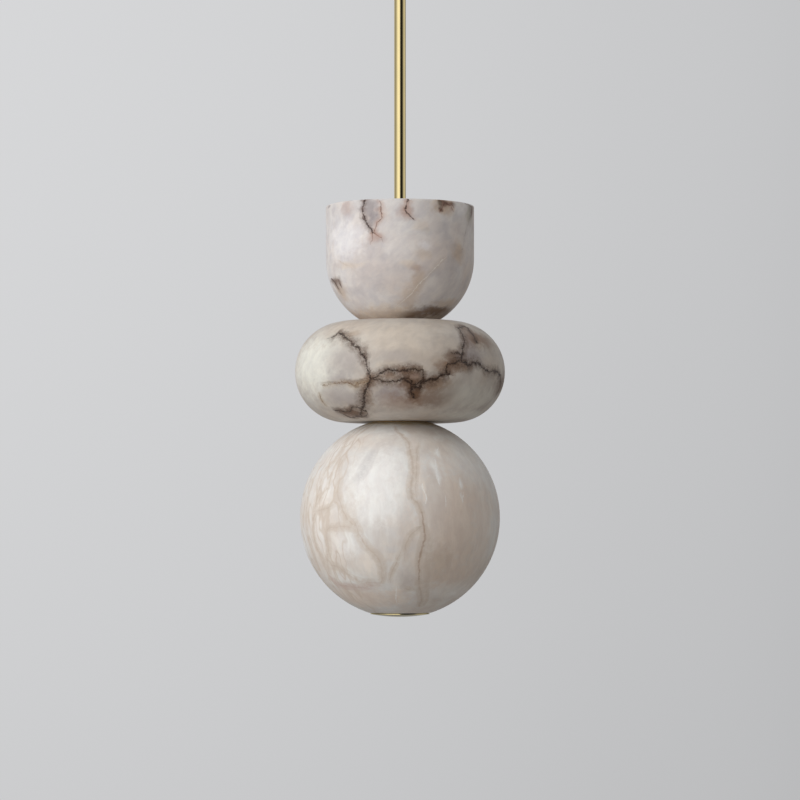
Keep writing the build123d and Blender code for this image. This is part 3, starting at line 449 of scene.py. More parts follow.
# disc: white with a jagged dark network round its edge and smoky brown beside it
disc = {
    "radius": 90.0, "level": -452.25, "arc": 42.75, "streak": (-50.0, 0.5),
    "jag": [(13.0, 4.0), (4.5, 3.2), (1.7, 2.0)], "fade": 1.0,
    "white": tone(206, 202, 197), "cream": tone(199, 189, 179), "grey": tone(180, 173, 168),
    "wisps": [tone(244, 241, 238), tone(255, 252, 248)],
    "halos": {"smoky": ((88, 62, 44), 0.95, (44, 26, 16)), "ochre": ((178, 156, 128), 0.7, (112, 84, 58))},
    "lines": {"dark": ((40, 24, 15), 1.0), "ochre": ((112, 84, 58), 0.75)},
    "paints": {"chalk": (234, 236, 230), "cream": (214, 205, 194), "putty": (200, 186, 169),
               "lilac": (178, 171, 169), "haze": (166, 158, 159), "fawn": (178, 156, 142),
               "tan": (156, 132, 112), "brown": (134, 104, 82), "umber": (106, 76, 52),
               "coffee": (66, 46, 34)},
    "frontPatches": [
        ((1.5, 28), (45, 25.5), "cream", 0.75), ((-87, 4.5), (54, 35.5), "chalk", 0.95),
        ((-49, 4), (25, 16), "lilac", 0.75), ((-57.5, -26), (25.5, 11), "haze", 0.6),
        ((-6.5, -25), (22.5, 13), "haze", 0.8), ((1.5, -33.5), (28.5, 11.5), "fawn", 0.6),
        ((-56.5, -46.5), (22, 10), "umber", 0.95), ((-24.5, -10), (7.5, 7), "tan", 0.85),
        ((-31.5, -27), (6.5, 17.5), "tan", 0.5), ((-8.5, -7.5), (9, 3.5), "tan", 0.8),
        ((12, -9.5), (12, 11.5), "umber", 0.85), ((12.5, -7.5), (5.5, 4.5), "fawn", 0.8),
        ((12.5, -24), (6.5, 8.5), "umber", 0.9), ((3.5, -3), (8, 4.5), "brown", 0.85),
        ((14.5, -1), (8.5, 2.5), "putty", 0.6), ((32, -14.5), (21.5, 7.5), "tan", 0.85),
        ((28.5, -27), (32.5, 11.5), "brown", 0.7), ((49.5, 8.5), (13.5, 7.5), "umber", 0.8),
        ((44.5, 0.5), (14, 7.5), "brown", 0.8), ((56, 1), (14, 6), "tan", 0.75),
        ((67, 11), (19.5, 9), "haze", 0.8), ((66, 23.5), (11, 11), "haze", 0.7),
        ((77, 35.5), (6.5, 6.5), "lilac", 0.8), ((87.5, 26), (25, 10), "brown", 0.7),
        ((97, 2.5), (17, 10), "cream", 0.6), ((75.5, -25.5), (39.5, 15.5), "chalk", 0.5),
        # the umber patch at (123.5, -11) is painted shade on the disc's right edge, the side turned from
        # the key light
        ((123.5, -11), (25.5, 12.5), "umber", 0.8), ((-39.5, -11.5), (14, 2.5), "coffee", 0.6),
        ((-56, -13.5), (22, 1.5), "coffee", 0.5), ((-39, -15.5), (6.5, 1.5), "coffee", 0.7),
        ((-46.5, 30.5), (7.5, 4.5), "tan", 0.6), ((-73.5, 35.5), (29, 10.5), "cream", 0.5),
        ((-35, 37.5), (23, 13), "cream", 0.6), ((-6, 1.5), (16, 5.5), "putty", 0.5),
        ((36.5, 1.5), (10.5, 7.5), "tan", 0.5), ((5, -15), (7.5, 6.5), "brown", 0.7),
        ((76, 32), (14, 15.5), "brown", 0.55), ((-3.5, 8), (16, 7.5), "lilac", 0.55),
        # the chalk patch at (104.5, -48.5) is painted light on the shaded underside of the disc at the
        # right
        ((-55, -11), (17, 7.5), "haze", 0.55), ((104.5, -48.5), (64, 9.5), "chalk", 0.6),
    ],
    "backPatches": [
        ((-84, 3), (26, 20), "tan", 0.7), ((-38, 12), (22, 18), "tan", 0.65),
        ((42, 0), (20, 10), "fawn", 0.75), ((22, -8), (16, 14), "tan", 0.7),
        ((62, -16), (20, 14), "tan", 0.6), ((0, 32), (70, 24), "cream", 0.75),
        ((-112, -20), (44, 26), "cream", 0.75), ((92, 6), (46, 22), "cream", 0.7),
        ((10, -30), (70, 22), "cream", 0.6), ((-60, 34), (30, 16), "cream", 0.5),
    ],
    "frontVeins": [
        ("level", 1.38, 7.1, "smoky", "dark", [(-79.1, 26, 0), (-72.6, 26.9, 0.3), (-67.5, 28.2, 0.7),
         (-64.7, 32.2), (-55.1, 28.3), (-48.2, 23.4), (-42.4, 18.9, 1.1), (-38.6, 17.4), (-34.3, 11.4),
         (-29.2, 6.2, 1.1), (-28.2, 0, 1.1), (-26.6, -4.8, 1.2), (-24.9, -9.8, 1.3)]),
        ("up", 2.04, 8.1, "smoky", "dark", [(-51.5, -55, 0.6), (-38.7, -37.1, 1.1), (-35, -31.4, 1.2),
         (-33.6, -23.9, 1.1), (-29.8, -18.6, 1.2), (-26.6, -14.1, 1.3), (-24.9, -9.8, 1.3)]),
        ("level", 1.25, 5.1, "smoky", "dark", [(-80.8, -40, 0), (-76.7, -40.6, 0.8), (-66.9, -42),
         (-59, -42.4), (-50, -37.7, 1.1), (-43.3, -38, 1.1), (-40.2, -42, 1.2), (-37.1, -44.6, 0.6)]),
        ("level", 1.25, 5.1, "smoky", "dark", [(-72.3, -42.9, 0.2), (-71.3, -47.8), (-64.9, -54.3, 1.1),
         (-52.5, -51.4), (-44.5, -51.8), (-37.2, -46.4, 0.4)]),
        ("level", 1.25, 6.1, "smoky", "dark", [(-24.9, -9.8, 1.3), (-19.8, -7.4), (-15.9, -5), (-8.5, -3.2),
         (-3.6, -3.8), (3.6, -3.6, 1.3), (8.5, -2, 1.3), (13.4, -2.6, 1.2), (19, -3.7, 0.8)]),
        ("level", 1.25, 6.1, "smoky", "dark", [(-24.9, -9.8, 1.3), (-21.1, -10.1), (-16.2, -12.1),
         (-8.7, -13.1), (-1.2, -11.2, 1.1), (3.7, -9.9, 1.4), (8, -11.4, 1.2)]),
        ("up", 1.38, 6.1, "smoky", "dark", [(16.6, -18.7, 1.2), (18.6, -13.9, 1.4), (20.1, -9.9),
         (19, -3.1, 0.8)]),
        ("level", 1.66, 6.1, "smoky", "dark", [(8.3, -18.8, 0.8), (11.4, -17.2, 1.5), (16.6, -18.7, 1.5),
         (20.1, -13.6, 1.3), (23.7, -11, 1.3), (30.3, -10.9, 1.2), (35.2, -7.7, 1.3), (43.3, -6.9, 1.2)]),
        ("up", 1.8, 5.1, "smoky", "dark", [(13.8, -29.8, 0), (11.7, -25.6, 1.4), (8.5, -22.9, 0.8),
         (9.2, -18.9, 1.2), (8.7, -11.2, 0.9)]),
        ("up", 1.25, 5.1, "smoky", "dark", [(42.9, -7.2, 1.2), (39.7, -2.1), (40.3, 2.1)]),
        ("level", 1.38, 6.1, "smoky", "dark", [(39.8, 1.5, 0.8), (47.3, 2.9), (54, 4.6, 1.3),
         (57.9, 4.5, 1.3), (63.3, 2.5, 1.6), (69.4, 4.4, 1.3), (74.8, 4, 1.1), (80.5, -0.1), (86.8, -1.6),
         (99.6, -1.6), (111.2, -3.9, 1.1)]),
        ("up", 1.38, 6.1, "smoky", "dark", [(55.6, 4.7, 1.3), (56.7, 12.1, 1.2), (60.8, 20.3, 1.1),
         (63.8, 28), (64.8, 35, 0.9), (65.2, 40.2, 0.7)]),
        ("level", 1.1, 5.1, "smoky", "dark", [(63.3, 38.5), (70.5, 41.2, 1.3), (78.4, 42.9, 1.3),
         (81.3, 39.9, 1.3)]),
        ("up", 1.1, 5.1, "smoky", "dark", [(80.3, 21.9, 0), (78.5, 25.9, 1.5), (79.2, 30.9, 1.4),
         (80.4, 36.4, 1.4), (82.1, 41.8, 1.2)]),
        ("up", 1.1, 4.1, "smoky", "dark", [(117.8, -26.5, 0), (118.4, -20.7, 0.5), (120, -15.2, 0.7),
         (115.2, -8.9, 0.8), (112.3, -3.4)]),
        ("level", 0.83, 4.1, "smoky", "dark", [(43.1, 11.3, 0), (48.4, 12.4, 0.8), (52.5, 10.6),
         (56.9, 9.5, 0.8)]),
        ("level", 0.7, 4.1, "smoky", "dark", [(44.8, 6.6, 0), (50.6, 7.8, 0.8), (55.8, 6.9, 0.7)]),
        ("level", 0.8, 4, "ochre", "ochre", [(-78.1, -13.5, 0), (-71.6, -14.2, 0.8), (-60.9, -13.4, 0.7),
         (-48.5, -13, 0.9), (-40.1, -14.2, 1.2), (-31.9, -13.7), (-26.4, -12.2, 0.6)]),
        ("up", 0.81, 3.9, "ochre", "ochre", [(-83.9, -36.8, 0), (-84.8, -33), (-85, -27.4, 1.3),
         (-84.2, -22.3), (-84.5, -19.6, 0)]),
        ("level", 1.2, 5.1, "smoky", "dark", [(2.5, -9.7, 0.9), (6.2, -13, 1.2), (11.3, -15.2, 1.2),
         (16.3, -13.9, 1.3), (18.9, -11.1)]),
    ],
    "backVeins": [
        ("level", 1, 6, "smoky", "dark", [(-146, -12, 0.4), (-134, -6), (-120, 4), (-108, 9),
         (-96, 12, 1.1), (-84, 6, 1.4), (-70, 13), (-58, 18), (-46, 14, 1.1), (-38, 10, 1.3)]),
        ("up", 1, 6, "smoky", "dark", [(-82, -50, 0), (-86, -34, 0.9), (-80, -22), (-83, -14, 1.1),
         (-88, -6), (-84, 6, 1.3)]),
        ("level", 1, 6, "smoky", "dark", [(-38, 10, 1.3), (-28, 4), (-20, 2), (-6, 6), (8, -2),
         (16, -7, 1.1), (24, -6, 1.4), (40, -2), (50, -8), (60, -12, 1.2), (78, -18), (92, -14, 0.9),
         (110, -22, 0.7), (130, -18, 0)]),
        ("up", 0.9, 5, "smoky", "dark", [(-38, 10, 1.2), (-34, 22), (-41, 33, 0.9), (-38, 50, 0)]),
        ("level", 0.8, 5, "smoky", "dark", [(24, -6), (34, 5), (44, 9), (52, 4, 0.9), (60, -12)]),
        ("level", 0.6, 4, "ochre", "ochre", [(66, 22, 0), (84, 26), (98, 22, 0.8), (116, 27, 0)]),
        ("up", 0.8, 4, "smoky", "dark", [(58, -36, 0), (64, -24, 0.9), (60, -12, 1.1)]),
    ],
}

# globe: white heart, tan web on the left, grey-beige with pale flecks beyond a long seam
globe = {
    "radius": 85.7, "level": -577.136, "arc": 85.7, "streak": (0.0, 0.22),
    "web": {"start": -215.0, "end": -40.0, "fadeIn": 40.0, "fadeOut": 22.0, "draw": (1.0, 0.3, 1.0),
            "width": 0.05, "paint": (206, 190, 174), "strength": 0.6},
    "jag": [(16.0, 4.0), (5.0, 1.4)], "fade": 0.4,
    "white": tone(233, 233, 232), "cream": tone(228, 221, 214), "grey": tone(221, 214, 208),
    "wisps": [tone(247, 244, 242), tone(255, 254, 252)],
    "halos": {"tan": ((210, 197, 184), 0.88, None), "pink": ((208, 188, 178), 0.9, None),
              "veil": ((214, 211, 209), 0.8, None)},
    "lines": {"tan": ((186, 166, 148), 0.3), "rust": ((166, 132, 108), 0.6),
              "pale": ((249, 248, 246), 0.9)},
    "paints": {"chalk": (247, 247, 246), "milk": (241, 233, 225), "cream": (233, 219, 207),
               # the last paint is the painted shade and warm painted glow of the ring under the disc
               "fawn": (216, 210, 206), "tan": (204, 188, 172), "honey": (208, 184, 138)},
    "frontPatches": [
        ((-18.5, 32.5), (34, 41), "chalk", 1), ((-50, -23), (18.5, 13), "chalk", 0.9),
        ((-30, -40), (11, 14), "milk", 0.85), ((-59, -54), (18, 6), "chalk", 0.7),
        ((-76, -8), (25, 49), "milk", 0.6), ((-74.5, 27), (13.5, 13.5), "chalk", 0.5),
        ((-75, -11.5), (5.5, 12.5), "chalk", 0.6), ((48, -8), (46.5, 73), "cream", 0.85),
        ((29, 14.5), (17, 35), "fawn", 0.5), ((38.5, -41.5), (15.5, 23.5), "tan", 0.5),
        ((59.5, -50.5), (29.5, 17), "cream", 0.5), ((16, 57.5), (7.5, 30.5), "milk", 0.5),
        ((16, 33.5), (7.5, 17.5), "milk", 0.6), ((43.5, 59.5), (4, 6), "chalk", 0.75),
        ((34.5, 42), (4, 11), "chalk", 0.8), ((35.5, 32.5), (3, 6), "chalk", 0.7),
        ((21, 24), (2, 6), "milk", 0.8), ((21.5, 15.5), (2, 5), "milk", 0.8),
        ((58, 29), (3, 5.5), "chalk", 0.8), ((58.5, 17), (1.5, 6), "chalk", 0.6),
        ((-5.5, -73.5), (9, 20), "milk", 0.75), ((-51, -79.5), (92, 16), "cream", 0.75),
        ((7, -54.5), (11.5, 13), "fawn", 0.7), ((76.5, -72.5), (9, 4), "chalk", 0.7),
        ((-7, -3.5), (8, 7), "milk", 0.45), ((-56, 73), (42, 13), "milk", 0.6),
        ((0, 82), (12, 7.5), "chalk", 0.6), ((-80, 62), (25, 16), "chalk", 0.5),
        ((89, 49), (34.5, 23), "chalk", 0.5), ((13, -24.5), (22.5, 8.5), "fawn", 0.4),
        # the milk patch at (85, -8) and the chalk patch at (90, -70) are painted light on the globe's
        # shaded right side
        ((85, -8), (13.5, 54), "milk", 0.5), ((90, -70), (58.5, 10.5), "chalk", 0.5),
        # the ring all round near the top is painted shade with a warm painted glow, where the disc
        # overhangs the globe
        ((-18.5, 8), (20, 19.5), "chalk", 0.7), ((0, 107), (600, 9), "honey", 0.75),
    ],
    "backPatches": [
        ((24, -16), (22, 16), "milk", 0.85), ((30, 30), (28, 34), "milk", 0.8),
        ((76, -6), (20, 40), "cream", 0.6), ((-70, 0), (50, 80), "fawn", 0.8),
        ((-46, 50), (5, 14), "milk", 0.75), ((-60, 34), (4, 12), "milk", 0.7),
        ((-80, -30), (36, 30), "fawn", 0.5), ((10, -80), (60, 14), "fawn", 0.7),
    ],
    "frontVeins": [
        ("up", 1.6, 4, "tan", "tan", [(17.6, 3.3), (14.8, 10.1), (10.6, 17, 1.1), (10.2, 26.4, 1.2),
         (11.4, 38.7, 1.2), (12.2, 52, 1.2), (10.9, 67.1), (1.9, 79.9, 0.8), (-6.2, 88, 0.7),
         (-9.3, 96.4, 0.6)]),
        ("up", 1.4, 4, "tan", "rust", [(19.7, -56.2, 0.8), (18.3, -43.8), (18.3, -31.2, 1.2),
         (19.1, -22.9, 1.3), (21, -13.6, 1.1), (20, -5.7), (17.6, 4.5, 0.6)]),
        ("up", 1.68, 5.2, "tan", "tan", [(36.9, -92.5, 1.3), (33, -85.6, 1.2), (25.3, -71.9, 1.2),
         (20.2, -59.1), (19.2, -53.3, 0.8)]),
        ("up", 0.6, 3, "tan", "tan", [(14.9, 12.4, 0), (13.9, 24, 0.8), (14.7, 36.1), (17, 52),
         (23.8, 76, 0)]),
        ("up", 0, 4.6, "tan", "tan", [(43.2, -91.2, 0.8), (37.3, -77.5, 0.9), (28.1, -57.6, 0.8),
         (24.8, -37.5, 0.8), (24.3, -21.7, 0.8), (22.5, -11.4, 0.3)]),
        ("up", 0.98, 4, "tan", "tan", [(5.4, -41.2, 0), (4.5, -28.8, 0.7), (6, -20.5), (9.2, -15),
         (13.7, -11.4), (18.1, -7.5, 0.8)]),
        ("up", 0.84, 3.4, "tan", "tan", [(-10.4, -59.9, 0.3), (-6.6, -46.5), (-1.9, -36.2, 0.9),
         (1.8, -27.1, 0.3)]),
        ("up", 0.84, 5.8, "tan", "tan", [(-22.1, -61.3, 0.5), (-18.3, -53.3), (-17.4, -42.5),
         (-19.9, -34.9), (-25.5, -28.8), (-31.1, -22.9), (-35.2, -14.8, 0.9), (-37.5, -6.8, 0.8),
         (-41.9, -1.1, 0.3)]),
        ("level", 0.84, 5.2, "tan", "tan", [(-80.3, -40.9, 0.3), (-73.5, -41.8, 0.8), (-66.3, -43),
         (-61, -46.6), (-53.5, -52.1), (-45.8, -57.5, 0.9), (-35, -59.2, 0.8), (-22.6, -59.9, 0.4)]),
        ("level", 0.84, 4.6, "pink", "tan", [(-88.4, -53.2, 0.5), (-86.4, -58.2), (-81.7, -61.1, 1.1),
         (-70.3, -64.2), (-53.7, -64.7, 0.9), (-36.7, -63.5, 0.7), (-16.9, -62.4, 0)]),
        ("up", 0.7, 5.2, "tan", "tan", [(-38.1, -7.4, 0.8), (-44.9, -3.4, 0.8), (-50.3, 3.4, 0.8),
         (-54.3, 12.6, 0.8), (-58.2, 21.9, 0.8), (-58.6, 30.3, 0.6), (-63.6, 41.7, 0.3)]),
        ("level", 0.7, 4, "tan", "tan", [(-88, 4.8, 0.6), (-76, 5.6), (-65.8, 8.1, 0.9),
         (-57.8, 13.2, 0.3)]),
        ("level", 0.56, 4.6, "tan", "tan", [(-68.7, -11.3, 0.5), (-62.6, -8.8, 0.9), (-53.7, -7.9, 0.8),
         (-45.4, -8.2, 0.8), (-37.7, -10.5, 0.6)]),
        ("up", 0.84, 4.6, "tan", "tan", [(-85.4, -46.9, 0.8), (-85.2, -36.5), (-87.8, -25.4),
         (-89.5, -13.6), (-87.1, -3.3), (-84.7, 10.5), (-82.8, 27, 0.9), (-83, 41.4, 0.4)]),
        ("up", 0.7, 4, "tan", "tan", [(-82.6, 10.5, 0.4), (-76.5, 19.8, 0.9), (-71.4, 26.8, 0.9),
         (-72.2, 39.9, 0.3)]),
        ("up", 0.7, 5.2, "tan", "tan", [(-83.1, 40.1, 0.5), (-79.1, 46.6, 0.9), (-75.3, 55.7, 0.9),
         (-79.5, 71.6, 0.7), (-91.5, 83.4, 0.2)]),
        ("up", 0.56, 4, "tan", "tan", [(-61.7, 39.1, 0.5), (-63.8, 48.3, 0.8), (-64.2, 59.9, 0)]),
        ("up", 0.7, 4.6, "tan", "tan", [(-84.4, -51, 0.5), (-79.6, -39, 0.9), (-70.1, -26.5, 0.9),
         (-69.3, -14.8, 0.8), (-63.8, -6.8, 0.4)]),
        ("up", 0.7, 3.4, "tan", "tan", [(-102.8, -47.1, 0.3), (-100.8, -31.6, 0.9),
         (-101.4, -17.1, 0.9), (-102, -3.2, 0.8), (-101.5, 10.7, 0.8), (-104.5, 24.9, 0.8),
         (-113.1, 40, 0)]),
        ("level", 0.7, 3.4, "tan", "tan", [(3.2, -67.2, 0), (9.6, -66.5), (20.3, -67.2, 0.2)]),
        ("level", 0, 3.4, "veil", "tan", [(-15.4, -25.8, 0), (-8.4, -27.4), (-0.6, -25.8, 0)]),
        ("up", 0, 6.9, "veil", "tan", [(-43.1, 27.8, 0), (-36.4, 38.7), (-32.6, 52.1),
         (-28.7, 67.2, 0)]),
    ] + [("up", width, 0.1, "veil", "pale", route) for width, route in (  # pale flecks
        (1.5, [(41.6, 53.9, 0.3), (43, 59.5), (46.5, 65.5, 0.3)]),
        (1.7, [(34.1, 32.5, 0.4), (35.1, 43.9, 1.1), (36.3, 52.2, 0.3)]),
        (1.4, [(36.3, 26.5, 0.3), (35.4, 32.6), (35.7, 38.1, 0.2)]),
        (1.3, [(21.1, 19.1, 0.3), (20.9, 24), (20.3, 28.8, 0.3)]),
        (1.2, [(21.6, 11.1, 0.3), (21.6, 15.6), (21.6, 19.9, 0.3)]),
        (1.3, [(58, 23.8, 0.3), (58.1, 28.8, 1.1), (58.9, 34, 0.3)]),
        (0.8, [(58.1, 12.4, 0.3), (58.3, 17.2), (58.9, 21.9, 0.3)]),
        (0.9, [(40.1, 7.9, 0.2), (40, 13.6, 0.8), (39.8, 19.5, 0.2)]),
        (1.6, [(-4.6, -85.4, 0.3), (-5.3, -73.7), (-5.3, -63.6, 0.3)]),
    )],
    "backVeins": [
        ("up", 1.2, 4.5, "tan", "tan", [(-26, -14, 0.8), (-30, 6), (-24, 24), (-28, 44, 1.1),
         (-20, 70), (-24, 88), (-20, 104, 0.8)]),
        ("up", 0.9, 3.5, "tan", "rust", [(-40, -104, 0.8), (-34, -76, 0.9), (-27, -52),
         (-31, -30, 1.1), (-26, -10, 0.8)]),
        ("up", 0.6, 3.5, "tan", "tan", [(-6, -50, 0), (4, -30, 0.8), (-2, -10, 0.9), (-10, 8),
         (-24, 24, 0.8)]),
        ("level", 0.6, 4, "tan", "tan", [(4, -30, 0.6), (20, -36), (38, -28, 0.9), (54, -38, 0.9),
         (72, -34, 0)]),
        ("up", 0.6, 4, "tan", "tan", [(54, -38, 0.5), (48, -10, 0.9), (60, 12), (54, 36),
         (62, 60, 0)]),
        ("level", 0.5, 3.5, "tan", "tan", [(-2, -10, 0.5), (14, 0, 0.9), (30, 6, 0.9), (48, -10, 0.5)]),
        ("up", 0.5, 4, "tan", "tan", [(84, -70, 0), (92, -44), (86, -14, 0.9), (94, 14), (88, 40, 0.9),
         (96, 64, 0)]),
        ("up", 0.5, 3.5, "tan", "tan", [(118, -40, 0), (112, -12, 0.9), (118, 20, 0.8), (112, 50, 0)]),
        ("level", 0.5, 4, "pink", "tan", [(-20, -58, 0), (0, -64), (24, -60, 0.9), (48, -66, 0.8),
         (70, -62, 0)]),
    ],
}

for nodeName, stone in (("alabaster_bowl", bowl), ("alabaster_disc", disc), ("alabaster_globe", globe)):
    dressNode(nodeName, stoneMaterial(nodeName + "Stone", stone))
print("stones dressed")


# metals and the rest: a noise is its size in millimetres, detail and roughness

brass = {"blotch": (26.0, 3.0, 0.6), "brushed": (1.2, 2.0, 0.6), "bump": (0.05, 0.05)}


def brassMaterial(name, low, high, rough, grain):
    # grain draws the brushing out
    material, tree, shader, place = newMaterial(name)
    blotch = noise(tree, place, *brass["blotch"])
    brushed = noise(tree, vec(tree, "MULTIPLY", place, grain), *brass["brushed"])
    dress(tree, shader, blend(tree, ramp(tree, blotch, *noiseSpan), low, high),
          ramp(tree, brushed, *noiseSpan, *rough), brushed, brass["bump"], 1.0)
    return material


zinc = {"swings": [(3.0, 1.5)], "cells": 0.35, "stain": (17.0, 4.0, 0.6), "stained": (0.5, 1.0),
        "rough": (0.26, 0.42), "fine": (0.8, 3.0, 0.6), "bump": (0.08, 0.05)}


def zincMaterial(name, low, high):
    # zinc-plated steel: flat crystals, each with its own tone and shine
    material, tree, shader, place = newMaterial(name)
    cells = addNode(tree, "TexVoronoi", {"Vector": warped(tree, place, zinc["swings"]),
                                         "Scale": zinc["cells"]})
    flake = addNode(tree, "SeparateColor", {0: cells.outputs["Color"]}).outputs[0]
    stain = ramp(tree, noise(tree, place, *zinc["stain"]), *noiseSpan, *zinc["stained"])
    dress(tree, shader, blend(tree, product(tree, flake, stain), low, high),
          ramp(tree, flake, 0.0, 1.0, *zinc["rough"]), noise(tree, place, *zinc["fine"]), zinc["bump"], 1.0)
    return material


extruded = {"drawn": (1.0, 1.0, 0.02), "lines": (0.7, 3.0, 0.65), "cloud": (22.0, 3.0, 0.6),
            "shade": (0.12, 0.4), "rough": (0.28, 0.44), "bump": (0.2, 0.05)}


def extrudedMaterial(name, low, high):
    # aluminium section: fine die lines along it
    material, tree, shader, place = newMaterial(name)
    lines = noise(tree, vec(tree, "MULTIPLY", place, extruded["drawn"]), *extruded["lines"])
    shade = product(tree, lines, noise(tree, place, *extruded["cloud"]))
    dress(tree, shader, blend(tree, ramp(tree, shade, *extruded["shade"]), low, high),
          ramp(tree, lines, *noiseSpan, *extruded["rough"]), lines, extruded["bump"], 1.0)
    return material


board = {"tracks": 0.09, "gap": 0.018, "gapEdge": 0.1, "pads": 0.16, "scatter": 0.35,
         "padEdge": (0.14, 0.11), "tinned": 0.9, "dust": (5.0, 3.0, 0.6), "dusty": (0.4, 0.75, 0.0, 0.12),
         "dustPaint": tone(150, 146, 138), "rough": (0.3, 0.42), "bump": (0.3, 0.05)}


def boardMaterial(name, mask, track, copper):
    # white board: broad tracks under the mask, small tinned pads
    material, tree, shader, place = newMaterial(name)
    gaps = addNode(tree, "TexBrick", {"Vector": place, "Scale": board["tracks"],
                                      "Mortar Size": board["gap"],
                                      "Mortar Smooth": board["gapEdge"]}).outputs["Fac"]
    pads = addNode(tree, "TexVoronoi", {"Vector": place, "Scale": board["pads"],
                                        "Randomness": board["scatter"]})
    pads = ramp(tree, pads.outputs["Distance"], *board["padEdge"])
    dust = noise(tree, place, *board["dust"])
    colour = blend(tree, pads, blend(tree, gaps, mask, track), copper)
    colour = blend(tree, ramp(tree, dust, *board["dusty"]), colour, board["dustPaint"])
    dress(tree, shader, colour, ramp(tree, dust, *noiseSpan, *board["rough"]),
          calc(tree, "SUBTRACT", pads, gaps), board["bump"], product(tree, pads, board["tinned"]))
    return material


plastic = {"cloud": (15.0, 3.0, 0.6), "fine": (3.0, 0.65), "pores": (0.06, 0.0),
           "porePaint": tone(90, 86, 80), "tint": (1.0, 0.95, 0.85), "reach": 4, "bump": (0.25, 0.04)}


def plasticMaterial(name, low, high, rough, grain, depth=0.0):
    # moulded plastic: a fine spark-eroded grain, slightly cloudy; depth is how milky it is
    material, tree, shader, place = newMaterial(name)
    cloud = noise(tree, place, *plastic["cloud"])
    fine = noise(tree, place, grain, *plastic["fine"])
    colour = blend(tree, ramp(tree, cloud, *noiseSpan), low, high)
    colour = blend(tree, ramp(tree, fine, *noiseSpan, *plastic["pores"]), colour, plastic["porePaint"])
    makeMilky(shader, depth, plastic["tint"], plastic["reach"])
    dress(tree, shader, colour, ramp(tree, fine, *noiseSpan, *rough), fine, plastic["bump"])
    return material


rubber = {"bloom": (8.0, 4.0, 0.65), "shade": (0.4, 0.75), "rough": (0.62, 0.82), "fine": (0.5, 3.0, 0.6),
          "bump": (0.3, 0.05)}


def rubberMaterial(name, low, high):
    material, tree, shader, place = newMaterial(name)
    bloom = noise(tree, place, *rubber["bloom"])
    fine = noise(tree, place, *rubber["fine"])
    dress(tree, shader, blend(tree, ramp(tree, bloom, *rubber["shade"]), low, high),
          ramp(tree, bloom, *noiseSpan, *rubber["rough"]), fine, rubber["bump"])
    return material


felt = {"tangle": [(1.2, 1.6)], "drawn": [(1.0, 0.25, 1.0), (0.25, 1.0, 1.0)], "fibre": (0.35, 3.0, 0.7),
        "shade": (0.4, 0.75), "rough": (0.3, 0.8, 0.85, 0.97), "sheen": 0.35, "sheenRough": 0.6,
        "bump": (0.6, 0.15)}


def feltMaterial(name, low, high):
    # pressed wool: short fibres lying every way, and a soft nap
    material, tree, shader, place = newMaterial(name)
    tangle = warped(tree, place, felt["tangle"])
    fibres = [noise(tree, vec(tree, "MULTIPLY", tangle, drawn), *felt["fibre"]) for drawn in felt["drawn"]]
    nap = calc(tree, "MAXIMUM", *fibres)
    shader.inputs["Sheen Weight"].default_value = felt["sheen"]
    shader.inputs["Sheen Roughness"].default_value = felt["sheenRough"]
    dress(tree, shader, blend(tree, ramp(tree, nap, *felt["shade"]), low, high),
          ramp(tree, nap, *felt["rough"]), nap, felt["bump"])
    return material


finishes = {
    "polished_brass": brassMaterial("polishedBrass", tone(232, 214, 160), tone(238, 218, 162), (0.07, 0.12),
                                    (1.0, 1.0, 0.06)),
    "plain_brass": brassMaterial("plainBrass", tone(186, 160, 104), tone(206, 182, 124), (0.24, 0.36),
                                 (0.08, 1.0, 1.0)),
    "zinc_steel": zincMaterial("zincSteel", tone(156, 160, 164), tone(212, 214, 214)),
    "core_aluminium": extrudedMaterial("coreAluminium", tone(176, 178, 180), tone(222, 223, 224)),
    "circuit_board": boardMaterial("circuitBoard", tone(232, 233, 228), tone(206, 210, 204),
                                   tone(196, 190, 176)),
    "opal_plastic": plasticMaterial("opalPlastic", tone(238, 237, 233), tone(246, 246, 243), (0.32, 0.44),
                                    0.9, 0.6),
    "driver_plastic": plasticMaterial("driverPlastic", tone(214, 215, 214), tone(228, 228, 226),
                                      (0.42, 0.58), 0.6),
    "terminal_plastic": plasticMaterial("terminalPlastic", tone(204, 202, 188), tone(222, 220, 208),
                                        (0.3, 0.42), 0.8, 0.3),
    "rubber": rubberMaterial("bushRubber", tone(30, 30, 31), tone(52, 51, 50)),
    "felt": feltMaterial("pressedFelt", tone(46, 45, 44), tone(84, 82, 78)),
}
for made in nodes.values():
    for slot in made.material_slots:
        if slot.material and slot.material.name in finishes:
            slot.material = finishes[slot.material.name]
# the gaskets are silicone, given a pale amber colour as a painted warm glow in the joint line above the
# globe
seamGlowGasket = rubberMaterial("gasketSeamGlow", tone(196, 158, 104), tone(216, 182, 130))
for nodeName in ("upper_gasket", "lower_gasket"):
    dressNode(nodeName, seamGlowGasket)
print("metals, plastics, rubber and felt dressed")

# knurling: straight teeth round the three canopy screws' heads and the swivel cap


